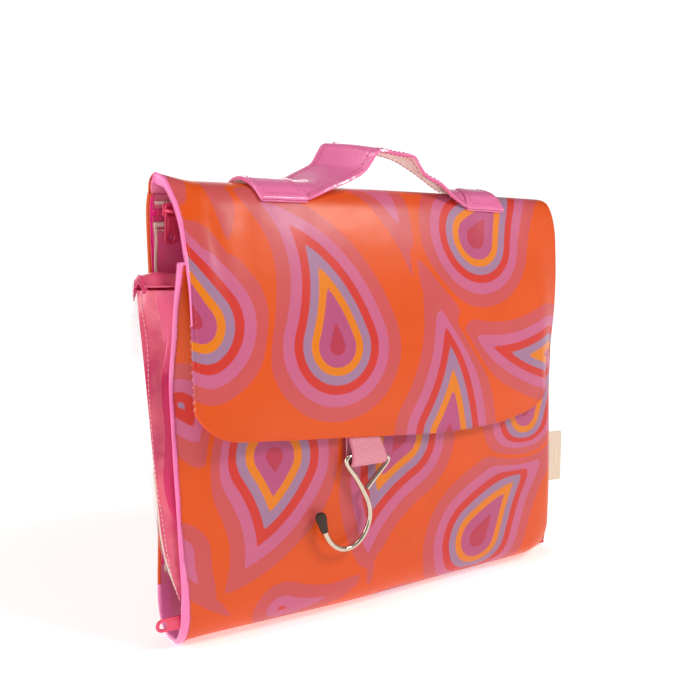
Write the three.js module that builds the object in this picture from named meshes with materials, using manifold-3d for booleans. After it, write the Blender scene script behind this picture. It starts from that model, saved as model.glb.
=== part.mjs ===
// Hanging toiletry bag: a coated-cotton strip folded into a back panel, a front
// panel and a closing flap, with zipped clear pockets inside, a strap handle on
// the top fold and a wire hook on a webbing loop under the flap's edge.
// Millimetres, +Z up, front of the bag towards -Y, origin at the middle of the base.
import * as THREE from 'three';
import { mergeVertices } from 'three/addons/utils/BufferGeometryUtils.js';
import Module from 'manifold-3d';

const wasm = await Module();
wasm.setup();

// ---------------------------------------------------------------- driving dimensions
const HALF_W = 140;            // half the width of the back and front panels
const FLAP_HALF_W = 135;       // half the width of the flap
const HEIGHT = 250;            // top of the fold above the ground
const HALF_D = 21;             // half the depth of the base
const OUTER_T = 1.2;           // printed coated cotton
const LINING_T = 0.8;          // lining sheet
const CLEAR_T = 0.6;           // clear PVC
const GAP = 0.3;               // between neighbouring sheets
const FRONT_TOP = 203;         // top edge of the front panel
const FLAP_HINGE = [-12, 236]; // y, z of the line where the flap bends
const FLAP_CORNER_R = 30;      // rounded lower corners of the flap
const ZIP_COIL_W = 2.6;
const ZIP_TAPE_W = 9.4;
const SLIDER = [9, 7.6, 1.7];  // length, width, thickness
const PULL_LEN = 22;
const PULL_W = 7.2;
const PULL_T = 1.3;
const WIRE_R = 1.5;            // hook wire
const WEB_W = 20.6;            // webbing width
const WEB_X = -33.1;          // middle of the webbing loop
const STRAP_W = 33;            // handle strap width
const STRAP_T = 2.2;
const PATCH_L = [-99, -62];    // x range of the left handle end
const PATCH_R = [58, 95];      // x range of the right handle end

// ---------------------------------------------------------------- materials
const mat = (color, roughness, metalness = 0, opacity = 1) =>
  new THREE.MeshStandardMaterial({ color, roughness, metalness, opacity, transparent: opacity < 1 });
const PRINT = mat(0xe9662f, 0.38);
const LINING = mat(0xe8789a, 0.35);
const STRAP = mat(0xeb79a7, 0.28);
const CLEAR = mat(0xf5e1d3, 0.12, 0, 0.35);
const TAPE = mat(0xcb2462, 0.7);
const COIL = mat(0xe33b63, 0.45);
const PAINT = mat(0xe33b63, 0.35, 0.3);
const BIND = mat(0xe6637a, 0.5);
const WEB = mat(0xe99ca4, 0.8);
const STEEL = mat(0xcfc8bd, 0.18, 1);
const RUBBER = mat(0x2e211b, 0.6);
const LABEL = mat(0xe6d3ba, 0.6);

const group = new THREE.Group();
group.name = 'hanging_toiletry_bag';
const add = (name, geometry, material) => {
  const mesh = new THREE.Mesh(geometry, material);
  mesh.name = name;
  group.add(mesh);
  return mesh;
};

// ---------------------------------------------------------------- helpers
// Turns every face outwards if the signed volume is negative.
function faceOut(g) {
  const p = g.attributes.position;
  const ix = g.index ? g.index.array : [...Array(p.count).keys()];
  const a = new THREE.Vector3(), b = new THREE.Vector3(), c = new THREE.Vector3();
  let v = 0;
  for (let i = 0; i < ix.length; i += 3) {
    a.fromBufferAttribute(p, ix[i]);
    b.fromBufferAttribute(p, ix[i + 1]);
    c.fromBufferAttribute(p, ix[i + 2]);
    v += a.dot(b.cross(c));
  }
  if (v < 0) {
    const out = Array.from(ix);
    for (let i = 0; i < out.length; i += 3) [out[i + 1], out[i + 2]] = [out[i + 2], out[i + 1]];
    g.setIndex(out);
  }
  g.computeVertexNormals();
  return g;
}

function weld(g) {
  const c = g.clone();
  for (const k of Object.keys(c.attributes)) if (k !== 'position') c.deleteAttribute(k);
  c.morphAttributes = {};
  return mergeVertices(c, 1e-4);
}

function toSolid(g) {
  const m = weld(g);
  return new wasm.Manifold(new wasm.Mesh({
    numProp: 3,
    vertProperties: new Float32Array(m.attributes.position.array),
    triVerts: new Uint32Array(m.index.array),
  }));
}

function fromSolid(s) {
  const m = s.getMesh();
  const g = new THREE.BufferGeometry();
  const n = m.numProp;
  const pos = new Float32Array((m.vertProperties.length / n) * 3);
  for (let i = 0; i < pos.length / 3; i++)
    for (let k = 0; k < 3; k++) pos[3 * i + k] = m.vertProperties[n * i + k];
  g.setAttribute('position', new THREE.BufferAttribute(pos, 3));
  g.setIndex(Array.from(m.triVerts));
  g.computeVertexNormals();
  return g;
}

// A section line in the y-z plane, measured along its length, with its inward normal.
class Section {
  constructor(points, inward, step = 12, fine = [Infinity, 3]) {
    const tension = 0.5;
    this.curve = new THREE.CatmullRomCurve3(
      points.map(([y, z]) => new THREE.Vector3(0, y, z)), false, 'catmullrom', tension);
    this.curve.arcLengthDivisions = 600;
    this.length = this.curve.getLength();
    this.side = 1;
    const [, n] = this.at(this.length / 2);
    this.side = n.y * inward[0] + n.z * inward[1] < 0 ? -1 : 1;
    this.stations = [];
    for (let s = 0; s <= this.length; s += s >= fine[0] ? fine[1] : step) this.stations.push(s);
  }
  at(s) {
    const u = Math.min(1, Math.max(0, s / this.length));
    const p = this.curve.getPointAt(u);
    const t = this.curve.getTangentAt(u);
    return [p, new THREE.Vector3(0, -t.z * this.side, t.y * this.side)];
  }
  // length along the line at which it first reaches height z, from s0 on
  sAtZ(z, from = 0, to = this.length) {
    const n = 4000;
    const sign = Math.sign(this.at(from)[0].z - z);
    for (let i = 1; i <= n; i++) {
      const s = from + ((to - from) * i) / n;
      if (Math.sign(this.at(s)[0].z - z) !== sign) return s;
    }
    return to;
  }
}

// A sheet between depths t0 and t1 inside a section line, from x0 to x1. Sheets of
// one section share its stations, so that neighbours stay parallel.
function sheet(section, { x0, x1, s0, s1, t0, t1, nx = 1, end = null }) {
  const far = end ? section.length : s1;
  const st = [s0, ...section.stations.filter((s) => s > s0 + 0.4 && s < far - 0.4), far];
  const ns = st.length - 1;
  const g = new THREE.BoxGeometry(1, 1, 1, nx, 1, ns);
  const p = g.attributes.position;
  for (let i = 0; i < p.count; i++) {
    const x = x0 + (x1 - x0) * (p.getX(i) + 0.5);
    const t = t0 + (t1 - t0) * (p.getY(i) + 0.5);
    const raw = st[Math.round((p.getZ(i) + 0.5) * ns)];
    const s = end ? s0 + ((raw - s0) * (end(x) - s0)) / (far - s0) : raw;
    const [c, n] = section.at(s);
    p.setXYZ(i, x, c.y + n.y * t, c.z + n.z * t);
  }
  return faceOut(g);
}

const round = (shape, x, y, w, h, r) => {
  shape.moveTo(x + r, y);
  shape.lineTo(x + w - r, y);
  shape.absarc(x + w - r, y + r, r, -Math.PI / 2, 0, false);
  shape.lineTo(x + w, y + h - r);
  shape.absarc(x + w - r, y + h - r, r, 0, Math.PI / 2, false);
  shape.lineTo(x + r, y + h);
  shape.absarc(x + r, y + h - r, r, Math.PI / 2, Math.PI, false);
  shape.lineTo(x, y + r);
  shape.absarc(x + r, y + r, r, Math.PI, 1.5 * Math.PI, false);
  return shape;
};

// ---------------------------------------------------------------- section lines (outer faces)
const backLine = new Section([
  [HALF_D, 0], [HALF_D, 20], [HALF_D, 45], [20, 100], [18.8, 160], [18.5, 203], [18.8, 218],
  [17.6, 233], [13.4, 244], [7, HEIGHT], [-1, 247.4], [-8, 241], [-11.5, 237],
], [-1, 0], 15, [225, 2.2]);
const frontLine = new Section([
  [-HALF_D, 0], [-HALF_D, 15], [-22, 40], [-23, 80], [-23.5, 110], [-21.5, 143], [-17, 170],
  [-13.5, 190], [-12, FRONT_TOP],
], [1, 0]);
const flapLine = new Section([
  [FLAP_HINGE[0] - 0.5, FLAP_HINGE[1] - 1.2], [-15, 216], [-20.5, 190], [-25, 167], [-28.6, 143],
  [-30.6, 118], [-31, 100],
], [1, 0]);
const pouchLine = new Section([
  [-17.4, 29.5], [-15.4, 42], [-6.4, 95], [1.4, 145], [7.6, 190.5],
], [-1, 0]);
const LINE_T = OUTER_T + GAP + LINING_T;  // depth of the lining's inner face
const TAPE_T0 = LINE_T + GAP;
const TAPE_T1 = TAPE_T0 + 0.6;
const WIN_T0 = TAPE_T1 + GAP;
const WIN_T1 = WIN_T0 + CLEAR_T;

// ---------------------------------------------------------------- back panel and top fold
add('back_outer', sheet(backLine, { x0: -HALF_W, x1: HALF_W, s0: 0, s1: backLine.length, t0: 0, t1: OUTER_T, ns: 44 }), PRINT);
add('back_lining', sheet(backLine, { x0: -HALF_W, x1: HALF_W, s0: 3.4, s1: backLine.length - 1.5, t0: OUTER_T + GAP, t1: LINE_T, ns: 40 }), LINING);

// upper pocket: clear strip, zip, clear window
const sZip = backLine.sAtZ(233.5);
add('upper_pocket_strip', sheet(backLine, { x0: -136, x1: 136, s0: sZip + 4.2, s1: sZip + 12, t0: WIN_T0, t1: WIN_T1, ns: 6 }), CLEAR);
add('upper_zip_tape_top', sheet(backLine, { x0: -137, x1: 137, s0: sZip + ZIP_COIL_W / 2 + GAP, s1: sZip + ZIP_COIL_W / 2 + GAP + ZIP_TAPE_W, t0: TAPE_T0, t1: TAPE_T1, ns: 6 }), TAPE);
add('upper_zip_tape_bottom', sheet(backLine, { x0: -137, x1: 137, s0: sZip - ZIP_COIL_W / 2 - GAP - ZIP_TAPE_W, s1: sZip - ZIP_COIL_W / 2 - GAP, t0: TAPE_T0, t1: TAPE_T1, ns: 4 }), TAPE);
add('upper_zip_coil', sheet(backLine, { x0: -136, x1: 136, s0: sZip - ZIP_COIL_W / 2, s1: sZip + ZIP_COIL_W / 2, t0: TAPE_T0, t1: TAPE_T0 + 2, ns: 2 }), COIL);
add('upper_pocket_window', sheet(backLine, { x0: -137, x1: 137, s0: 34, s1: sZip - 4.2, t0: WIN_T0, t1: WIN_T1, ns: 22 }), CLEAR);

// ---------------------------------------------------------------- base strip under the bag
{
  const box = (y, z, dy, dz) => {
    const g = new THREE.BoxGeometry(2 * HALF_W, dy, dz);
    g.translate(0, y, z);
    return faceOut(g);
  };
  add('base_outer', box(0, OUTER_T / 2, 2 * (HALF_D - OUTER_T - 0.4), OUTER_T), PRINT);
  add('base_lining', box(0, OUTER_T + GAP + LINING_T / 2, 2 * (HALF_D - LINE_T - 0.5), LINING_T), LINING);
}

// ---------------------------------------------------------------- front panel
add('front_outer', sheet(frontLine, { x0: -HALF_W, x1: HALF_W, s0: 0, s1: frontLine.length, t0: 0, t1: OUTER_T, ns: 28 }), PRINT);
add('front_lining', sheet(frontLine, { x0: -HALF_W, x1: HALF_W, s0: 3.4, s1: frontLine.length - 0.6, t0: OUTER_T + GAP, t1: LINE_T, ns: 28 }), LINING);

// gusseted pouch on the inside of the front panel, zipped beside the bottom fold
const sLow = frontLine.sAtZ(16.5);
add('pouch_zip_tape_low', sheet(frontLine, { x0: -137, x1: 137, s0: sLow - ZIP_COIL_W / 2 - GAP - ZIP_TAPE_W, s1: sLow - ZIP_COIL_W / 2 - GAP, t0: TAPE_T0, t1: TAPE_T1, ns: 4 }), TAPE);
add('pouch_zip_tape_high', sheet(frontLine, { x0: -137, x1: 137, s0: sLow + ZIP_COIL_W / 2 + GAP, s1: sLow + ZIP_COIL_W / 2 + GAP + ZIP_TAPE_W, t0: TAPE_T0, t1: TAPE_T1, ns: 4 }), TAPE);
add('pouch_zip_coil', sheet(frontLine, { x0: -136, x1: 136, s0: sLow - ZIP_COIL_W / 2, s1: sLow + ZIP_COIL_W / 2, t0: TAPE_T0, t1: TAPE_T0 + 2, ns: 2 }), COIL);
add('pouch_window', sheet(pouchLine, { x0: -146, x1: 137, s0: 0, s1: pouchLine.length, t0: 0, t1: CLEAR_T, ns: 16 }), CLEAR);
{
  // side gussets: the space between the front lining and the window, as thin plates
  const outline = [];
  const n = 12;
  const zLow = 31, zHigh = 190;
  for (let i = 0; i <= n; i++) {
    const z = zLow + ((zHigh - zLow) * i) / n;
    const [c, m] = frontLine.at(frontLine.sAtZ(z));
    outline.push([c.y + m.y * (LINE_T + 0.4), c.z]);
  }
  for (let i = n; i >= 0; i--) {
    const z = zLow + ((zHigh - zLow) * i) / n;
    const [c, m] = pouchLine.at(pouchLine.sAtZ(z, 0, pouchLine.length));
    outline.push([c.y + m.y * (CLEAR_T + 0.4), c.z]);
  }
  // x is the plate's left face
  const plate = (x) => {
    const s = new THREE.Shape(outline.map(([y, z]) => new THREE.Vector2(y, z)));
    const g = new THREE.ExtrudeGeometry(s, { depth: 0.9, bevelEnabled: false });
    const p = g.attributes.position;
    for (let i = 0; i < p.count; i++) p.setXYZ(i, x + p.getZ(i), p.getX(i), p.getY(i));
    return faceOut(weld(g));
  };
  add('pouch_gusset_left', plate(-146.5), BIND);
  add('pouch_gusset_right', plate(136.6), BIND);
  const top = new THREE.BoxGeometry(284, 18, 0.9);
  top.translate(-4.5, -1.4, 191.6);
  add('pouch_gusset_end', faceOut(top), BIND);
}

// folded label in the right side seam
{
  const s = round(new THREE.Shape(), 0, 0, 15.4, 34, 1.2);
  const g = new THREE.ExtrudeGeometry(s, { depth: 1.4, bevelEnabled: false, curveSegments: 4 });
  const p = g.attributes.position;
  for (let i = 0; i < p.count; i++) p.setXYZ(i, HALF_W + 0.4 + p.getX(i), -21.6 + p.getZ(i), 56 + p.getY(i));
  add('side_label', faceOut(weld(g)), LABEL);
}

// ---------------------------------------------------------------- flap
// height of the lower edge across the flap, with a slight sag in the middle
const EDGE = [[-135, 113], [-113, 111], [-76, 109], [-44, 106], [12, 102], [43, 102], [72, 103], [94, 106], [135, 110]];
function edgeZ(x) {
  let z = EDGE[EDGE.length - 1][1];
  for (let i = 1; i < EDGE.length; i++) {
    if (x <= EDGE[i][0]) {
      const [xa, za] = EDGE[i - 1], [xb, zb] = EDGE[i];
      z = za + ((zb - za) * (x - xa)) / (xb - xa);
      break;
    }
  }
  const over = Math.abs(x) - (FLAP_HALF_W - FLAP_CORNER_R);
  if (over > 0) z += FLAP_CORNER_R - Math.sqrt(Math.max(0, FLAP_CORNER_R ** 2 - Math.min(over, FLAP_CORNER_R) ** 2));
  return z;
}
const flapEnd = (inset) => {
  const cache = new Map();
  return (x) => {
    const k = Math.round(x * 100);
    if (!cache.has(k)) cache.set(k, flapLine.sAtZ(edgeZ(Math.max(-FLAP_HALF_W, Math.min(FLAP_HALF_W, x))) + inset));
    return cache.get(k);
  };
};
add('flap_outer', sheet(flapLine, { x0: -FLAP_HALF_W, x1: FLAP_HALF_W, s0: 0, t0: 0, t1: OUTER_T, nx: 36, ns: 16, end: flapEnd(0) }), PRINT);
add('flap_lining', sheet(flapLine, { x0: -FLAP_HALF_W + 0.6, x1: FLAP_HALF_W - 0.6, s0: 0.6, t0: OUTER_T + GAP, t1: LINE_T, nx: 36, ns: 16, end: flapEnd(0.6) }), LINING);

// ---------------------------------------------------------------- webbing
{
  const y0 = -28.1;
  const end = new THREE.BoxGeometry(WEB_W, 2, 12);
  end.translate(WEB_X, y0 + 1.1, 113.2);
  add('webbing_sewn_end', faceOut(end), WEB);

  // loop: a closed ring section with the hook's bar inside
  const cy = -31, r = 3.1, ri = 1.9, zb = 92.9, zt = 97;
  const s = new THREE.Shape();
  s.moveTo(-29.4, 103.6);
  s.lineTo(-27.2, 103.6);
  s.lineTo(cy + r, 99);
  s.lineTo(cy + r, zb);
  s.absarc(cy, zb, r, 0, -Math.PI, true);
  s.lineTo(cy - r, 99.5);
  s.lineTo(-29.4, 103.6);
  const hole = new THREE.Path();
  hole.moveTo(cy + ri, zb);
  hole.absarc(cy, zt, ri, 0, Math.PI, false);
  hole.absarc(cy, zb, ri, Math.PI, 2 * Math.PI, false);
  s.holes.push(hole);
  const g = new THREE.ExtrudeGeometry(s, { depth: WEB_W, bevelEnabled: false, curveSegments: 8 });
  const p = g.attributes.position;
  for (let i = 0; i < p.count; i++) p.setXYZ(i, WEB_X - WEB_W / 2 + p.getZ(i), p.getX(i), p.getY(i));
  add('webbing_loop', faceOut(weld(g)), WEB);
}

// ---------------------------------------------------------------- wire hook with its rubber tip
{
  const Y = -31;
  // the wire starts beside the shank, runs up to the right corner, along the bar
  // through the loop, round the left corner and down the shank into the hook
  const pts = [
    [-34.1, 75.9, 0], [-31.2, 78.7, 0], [-27.7, 82.1, 0], [-22.3, 87.2, 0], [-20.0, 89.6, 0], [-19.3, 91.6, 0],
    [-20.5, 93.1, 0], [-23.3, 93.5, 0], [-33, 94.5, 0], [-43, 95.6, 0], [-45.6, 95.5, 0], [-47.1, 94.1, 0],
    [-47.0, 92, 0], [-45.6, 89.4, 0], [-42.5, 85.2, 0], [-38.9, 79.6, 0], [-35.7, 73.5, 0], [-33.4, 68.7, 0], [-32.1, 63.4, 0],
    [-32.3, 57.9, 0], [-34.2, 52.7, 0], [-37.3, 48.2, 0], [-41.5, 44.9, 0], [-46.1, 43.4, 0], [-50.2, 43.6, 0],
    [-54.2, 45.3, 0], [-57.7, 48.3, 0], [-60.1, 51.7, 0], [-61.5, 54.9, 0],
  ].map(([x, z, d]) => new THREE.Vector3(x, Y + d, z));
  const curve = new THREE.CatmullRomCurve3(pts, false, 'centripetal');
  curve.arcLengthDivisions = 2000;
  const circle = new THREE.Shape();
  for (let k = 0; k < 10; k++) {
    const a = (k * 2 * Math.PI) / 10;
    if (k === 0) circle.moveTo(WIRE_R, 0);
    else circle.lineTo(WIRE_R * Math.cos(a), WIRE_R * Math.sin(a));
  }
  circle.closePath();
  const g = new THREE.ExtrudeGeometry(circle, { steps: 96, bevelEnabled: false, extrudePath: curve });
  add('wire_hook', faceOut(weld(g)), STEEL);

  // rubber tip, a cap tapering towards the wire
  const profile = [[0, 0], [1.9, 0], [2.15, 0.6], [2.9, 6], [3.2, 8.6], [2.9, 10.2], [2, 11.3], [0.9, 11.8], [0, 11.9]]
    .map(([r, z]) => new THREE.Vector2(r, z));
  const cap = new THREE.LatheGeometry(profile, 14);
  cap.rotateX(Math.PI / 2);
  const dir = new THREE.Vector3(-64.6 + 61.6, 0, 66.6 - 55.6).normalize();
  cap.applyQuaternion(new THREE.Quaternion().setFromUnitVectors(new THREE.Vector3(0, 0, 1), dir));
  cap.translate(-61.75, Y, 55.35);
  add('hook_tip', faceOut(weld(cap)), RUBBER);
}

// ---------------------------------------------------------------- handle
const sBack = backLine.sAtZ(241.5);
const sFront = backLine.length - 4.5;
add('handle_end_left', sheet(backLine, { x0: PATCH_L[0], x1: PATCH_L[1], s0: sBack, s1: sFront, t0: -2.6, t1: -0.4, ns: 18 }), STRAP);
add('handle_end_right', sheet(backLine, { x0: PATCH_R[0], x1: PATCH_R[1], s0: sBack, s1: sFront, t0: -2.6, t1: -0.4, ns: 18 }), STRAP);
{
  const line = new THREE.CatmullRomCurve3([
    [-61.4, 253.6], [-57, 254.4], [-52, 258], [-46, 265.5], [-40, 271.2], [-30, 273], [-16, 272], [-2, 270.5],
    [12, 268.6], [23, 266], [32, 260.5], [41, 255.6], [50, 253.9], [57.4, 253.6],
  ].map(([x, z]) => new THREE.Vector3(x, 0, z)), false, 'centripetal');
  const top = [], bottom = [];
  const n = 36;
  for (let i = 0; i <= n; i++) {
    const p = line.getPointAt(i / n), t = line.getTangentAt(i / n);
    top.push(new THREE.Vector2(p.x - (t.z * STRAP_T) / 2, p.z + (t.x * STRAP_T) / 2));
    bottom.push(new THREE.Vector2(p.x + (t.z * STRAP_T) / 2, p.z - (t.x * STRAP_T) / 2));
  }
  const s = new THREE.Shape([...bottom, ...top.reverse()]);
  const g = new THREE.ExtrudeGeometry(s, { depth: STRAP_W, bevelEnabled: false });
  const p = g.attributes.position;
  for (let i = 0; i < p.count; i++) p.setXYZ(i, p.getX(i), 3.5 - STRAP_W / 2 + p.getZ(i), p.getY(i));
  add('handle_strap', faceOut(weld(g)), STRAP);
}

// ---------------------------------------------------------------- zip sliders and their pulls
// Built lying in a local frame: u along the pull (away from its pivot), w across it,
// h away from the tape. The crown stands at the origin.
function sliderSolid(len, wid) {
  const s = round(new THREE.Shape(), -len / 2, -wid / 2, len, wid, 1.8);
  const plate = new THREE.ExtrudeGeometry(s, { depth: SLIDER[2], bevelEnabled: false, curveSegments: 5 });
  const crown = new THREE.LatheGeometry(
    [[0, 1.2], [1.05, 1.2], [1.05, 3.6], [1.75, 3.9], [1.6, 4.7], [0.9, 5.2], [0, 5.3]].map(([r, z]) => new THREE.Vector2(r, z)), 12);
  crown.rotateX(Math.PI / 2);
  const a = toSolid(faceOut(weld(plate))), b = toSolid(faceOut(weld(crown)));
  return fromSolid(a.add(b));
}
function pullSolid() {
  const s = new THREE.Shape();
  // from the cross bar (u = -4.2) to the round end
  const u0 = -4.2, u1 = PULL_LEN - 4.2, hw = PULL_W / 2, tip = 3.0;
  s.moveTo(u0 + 1.2, -hw);
  s.lineTo(u0 + 9, -hw + 0.2);
  s.lineTo(u1 - tip, -tip);
  s.absarc(u1 - tip, 0, tip, -Math.PI / 2, Math.PI / 2, false);
  s.lineTo(u0 + 9, hw - 0.2);
  s.lineTo(u0 + 1.2, hw);
  s.absarc(u0 + 1.2, hw - 1.2, 1.2, Math.PI / 2, Math.PI, false);
  s.lineTo(u0, -hw + 1.2);
  s.absarc(u0 + 1.2, -hw + 1.2, 1.2, Math.PI, 1.5 * Math.PI, false);
  const eye = new THREE.Path();
  eye.moveTo(-2.7, -2.3);
  eye.lineTo(3.6, -2.3);
  eye.lineTo(3.6, 2.3);
  eye.lineTo(-2.7, 2.3);
  eye.closePath();
  s.holes.push(eye);
  const hole = new THREE.Path();
  hole.absarc(u1 - tip, 0, 1.8, 0, 2 * Math.PI, true);
  s.holes.push(hole);
  const g = new THREE.ExtrudeGeometry(s, { depth: PULL_T, bevelEnabled: false, curveSegments: 6 });
  g.translate(0, 0, SLIDER[2] + 0.35);
  return faceOut(weld(g));
}
// places local (u, w, h) along the given world axes
function place(g, origin, u, w, h) {
  const c = g.clone();
  const m = new THREE.Matrix4().makeBasis(u, w, h).setPosition(origin);
  c.applyMatrix4(m);
  return faceOut(c);
}
const V = (x, y, z) => new THREE.Vector3(x, y, z);
{
  // upper zip: the slider is parked at the left end and its pull hangs down
  const [c, n] = backLine.at(sZip);
  const base = c.clone().addScaledVector(n, TAPE_T0 + 2 + 0.35);
  base.x = -129;
  const u = V(0, -n.z, n.y).multiplyScalar(-n.y < 0 ? -1 : 1);
  if (u.z > 0) u.negate();
  const w = V(0, 0, 0).crossVectors(n, u);
  add('upper_slider', place(sliderSolid(SLIDER[1], SLIDER[0]), base, u, w, n), PAINT);
  add('upper_pull', place(pullSolid(), base, u, w, n), PAINT);
}
{
  // pouch zip: the slider is parked at the left end and its pull points out to the left
  const [c, n] = frontLine.at(sLow);
  const base = c.clone().addScaledVector(n, TAPE_T0 + 2 + 0.35);
  base.x = -135;
  const u = V(-1, 0, 0);
  const w = V(0, 0, 0).crossVectors(n, u);
  add('pouch_slider', place(sliderSolid(SLIDER[0], SLIDER[1]), base, u, w, n), PAINT);
  add('pouch_pull', place(pullSolid(), base, u, w, n), PAINT);
}

export default group;
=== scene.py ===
# Looks of the hanging toiletry bag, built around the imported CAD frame.
import bpy
import math
import numpy as np
from mathutils import Matrix, Vector


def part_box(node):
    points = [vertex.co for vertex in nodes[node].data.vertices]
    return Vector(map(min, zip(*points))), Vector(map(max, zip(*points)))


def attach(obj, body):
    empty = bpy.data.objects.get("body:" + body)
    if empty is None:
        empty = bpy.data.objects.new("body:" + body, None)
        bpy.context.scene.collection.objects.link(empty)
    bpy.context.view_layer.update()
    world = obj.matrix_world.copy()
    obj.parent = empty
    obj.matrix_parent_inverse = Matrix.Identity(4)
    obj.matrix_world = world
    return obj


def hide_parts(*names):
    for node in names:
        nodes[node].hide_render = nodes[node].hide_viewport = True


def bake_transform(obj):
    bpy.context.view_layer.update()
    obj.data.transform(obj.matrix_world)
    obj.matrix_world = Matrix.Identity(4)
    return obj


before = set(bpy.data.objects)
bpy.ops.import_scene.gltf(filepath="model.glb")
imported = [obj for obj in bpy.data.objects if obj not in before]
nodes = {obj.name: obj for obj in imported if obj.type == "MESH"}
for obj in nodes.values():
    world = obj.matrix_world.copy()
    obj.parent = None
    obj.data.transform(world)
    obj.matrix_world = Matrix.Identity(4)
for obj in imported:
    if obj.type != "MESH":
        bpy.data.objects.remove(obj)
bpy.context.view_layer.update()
RNG = np.random.RandomState(7)
MM = 0.001


# ------------------------------------------------------------------ camera, floor, light
def make_camera():
    yaw, pitch, roll = math.radians(31.8), math.radians(5.5), math.radians(-0.61)
    fw = Vector((math.sin(yaw) * math.cos(pitch), math.cos(yaw) * math.cos(pitch), -math.sin(pitch)))
    right = Vector((math.cos(yaw), -math.sin(yaw), 0))
    up = right.cross(fw)
    r2 = right * math.cos(roll) + up * math.sin(roll)
    u2 = -right * math.sin(roll) + up * math.cos(roll)
    data = bpy.data.cameras.new("camera")
    data.lens, data.sensor_width = 800 / 700 * 36, 36
    data.clip_start, data.clip_end = 0.02, 30
    cam = bpy.data.objects.new("camera", data)
    m = Matrix((r2, u2, -fw)).transposed().to_4x4()
    m.translation = Vector((-0.276, -0.405, 0.198))
    cam.matrix_world = m
    bpy.context.scene.collection.objects.link(cam)
    bpy.context.scene.camera = cam


make_camera()

scene = bpy.context.scene
scene.view_settings.view_transform = "Standard"
scene.view_settings.look = "None"
scene.view_settings.exposure = 0.0
scene.view_settings.gamma = 1.0

world = bpy.data.worlds.new("studio")
scene.world = world
world.use_nodes = True
wt = world.node_tree
fill = wt.nodes["Background"]
way = wt.nodes.new("ShaderNodeTexCoord")
cloud = wt.nodes.new("ShaderNodeTexNoise")
cloud.inputs["Scale"].default_value = 1.7
cloud.inputs["Detail"].default_value = 1.0
wt.links.new(way.outputs["Generated"], cloud.inputs["Vector"])
tone = wt.nodes.new("ShaderNodeValToRGB")
tone.color_ramp.elements[0].position, tone.color_ramp.elements[0].color = 0.40, (0.12, 0.115, 0.11, 1)
tone.color_ramp.elements[1].position, tone.color_ramp.elements[1].color = 0.60, (1.0, 0.985, 0.97, 1)
wt.links.new(cloud.outputs["Fac"], tone.inputs["Fac"])
wt.links.new(tone.outputs["Color"], fill.inputs["Color"])
fill.inputs["Strength"].default_value = 0.58
plain = wt.nodes.new("ShaderNodeBackground")
plain.inputs["Color"].default_value = (1, 1, 1, 1)
plain.inputs["Strength"].default_value = 1.05
path = wt.nodes.new("ShaderNodeLightPath")
both = wt.nodes.new("ShaderNodeMixShader")
wt.links.new(path.outputs["Is Camera Ray"], both.inputs[0])
wt.links.new(fill.outputs[0], both.inputs[1])
wt.links.new(plain.outputs[0], both.inputs[2])
wt.links.new(both.outputs[0], wt.nodes["World Output"].inputs["Surface"])


def area(name, loc, target, size, power, color=(1, 1, 1)):
    data = bpy.data.lights.new(name, "AREA")
    data.shape, data.size, data.size_y = "RECTANGLE", size[0], size[1]
    data.energy, data.color = power, color
    o = bpy.data.objects.new(name, data)
    o.location = loc
    o.rotation_euler = (Vector(target) - Vector(loc)).to_track_quat("-Z", "Y").to_euler()
    scene.collection.objects.link(o)


area("key", (0.50, -0.80, 0.95), (0, 0, 0.12), (0.34, 0.34), 7.4, (1, 0.985, 0.96))
area("top", (-0.35, -0.15, 1.15), (0, 0, 0.1), (0.35, 0.35), 1.2)
area("back", (0.3, 1.2, 0.7), (0, 0, 0.12), (0.9, 0.6), 3.2)
area("left", (-1.15, -0.10, 0.40), (-0.1, 0, 0.12), (0.5, 0.8), 5.0, (1, 0.99, 0.98))


# ------------------------------------------------------------------ materials
def lin(*c):
    """sRGB 0-255 to linear."""
    out = []
    for v in c:
        v = v / 255
        out.append(v / 12.92 if v <= 0.04045 else ((v + 0.055) / 1.055) ** 2.4)
    return (*out, 1.0)


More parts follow.
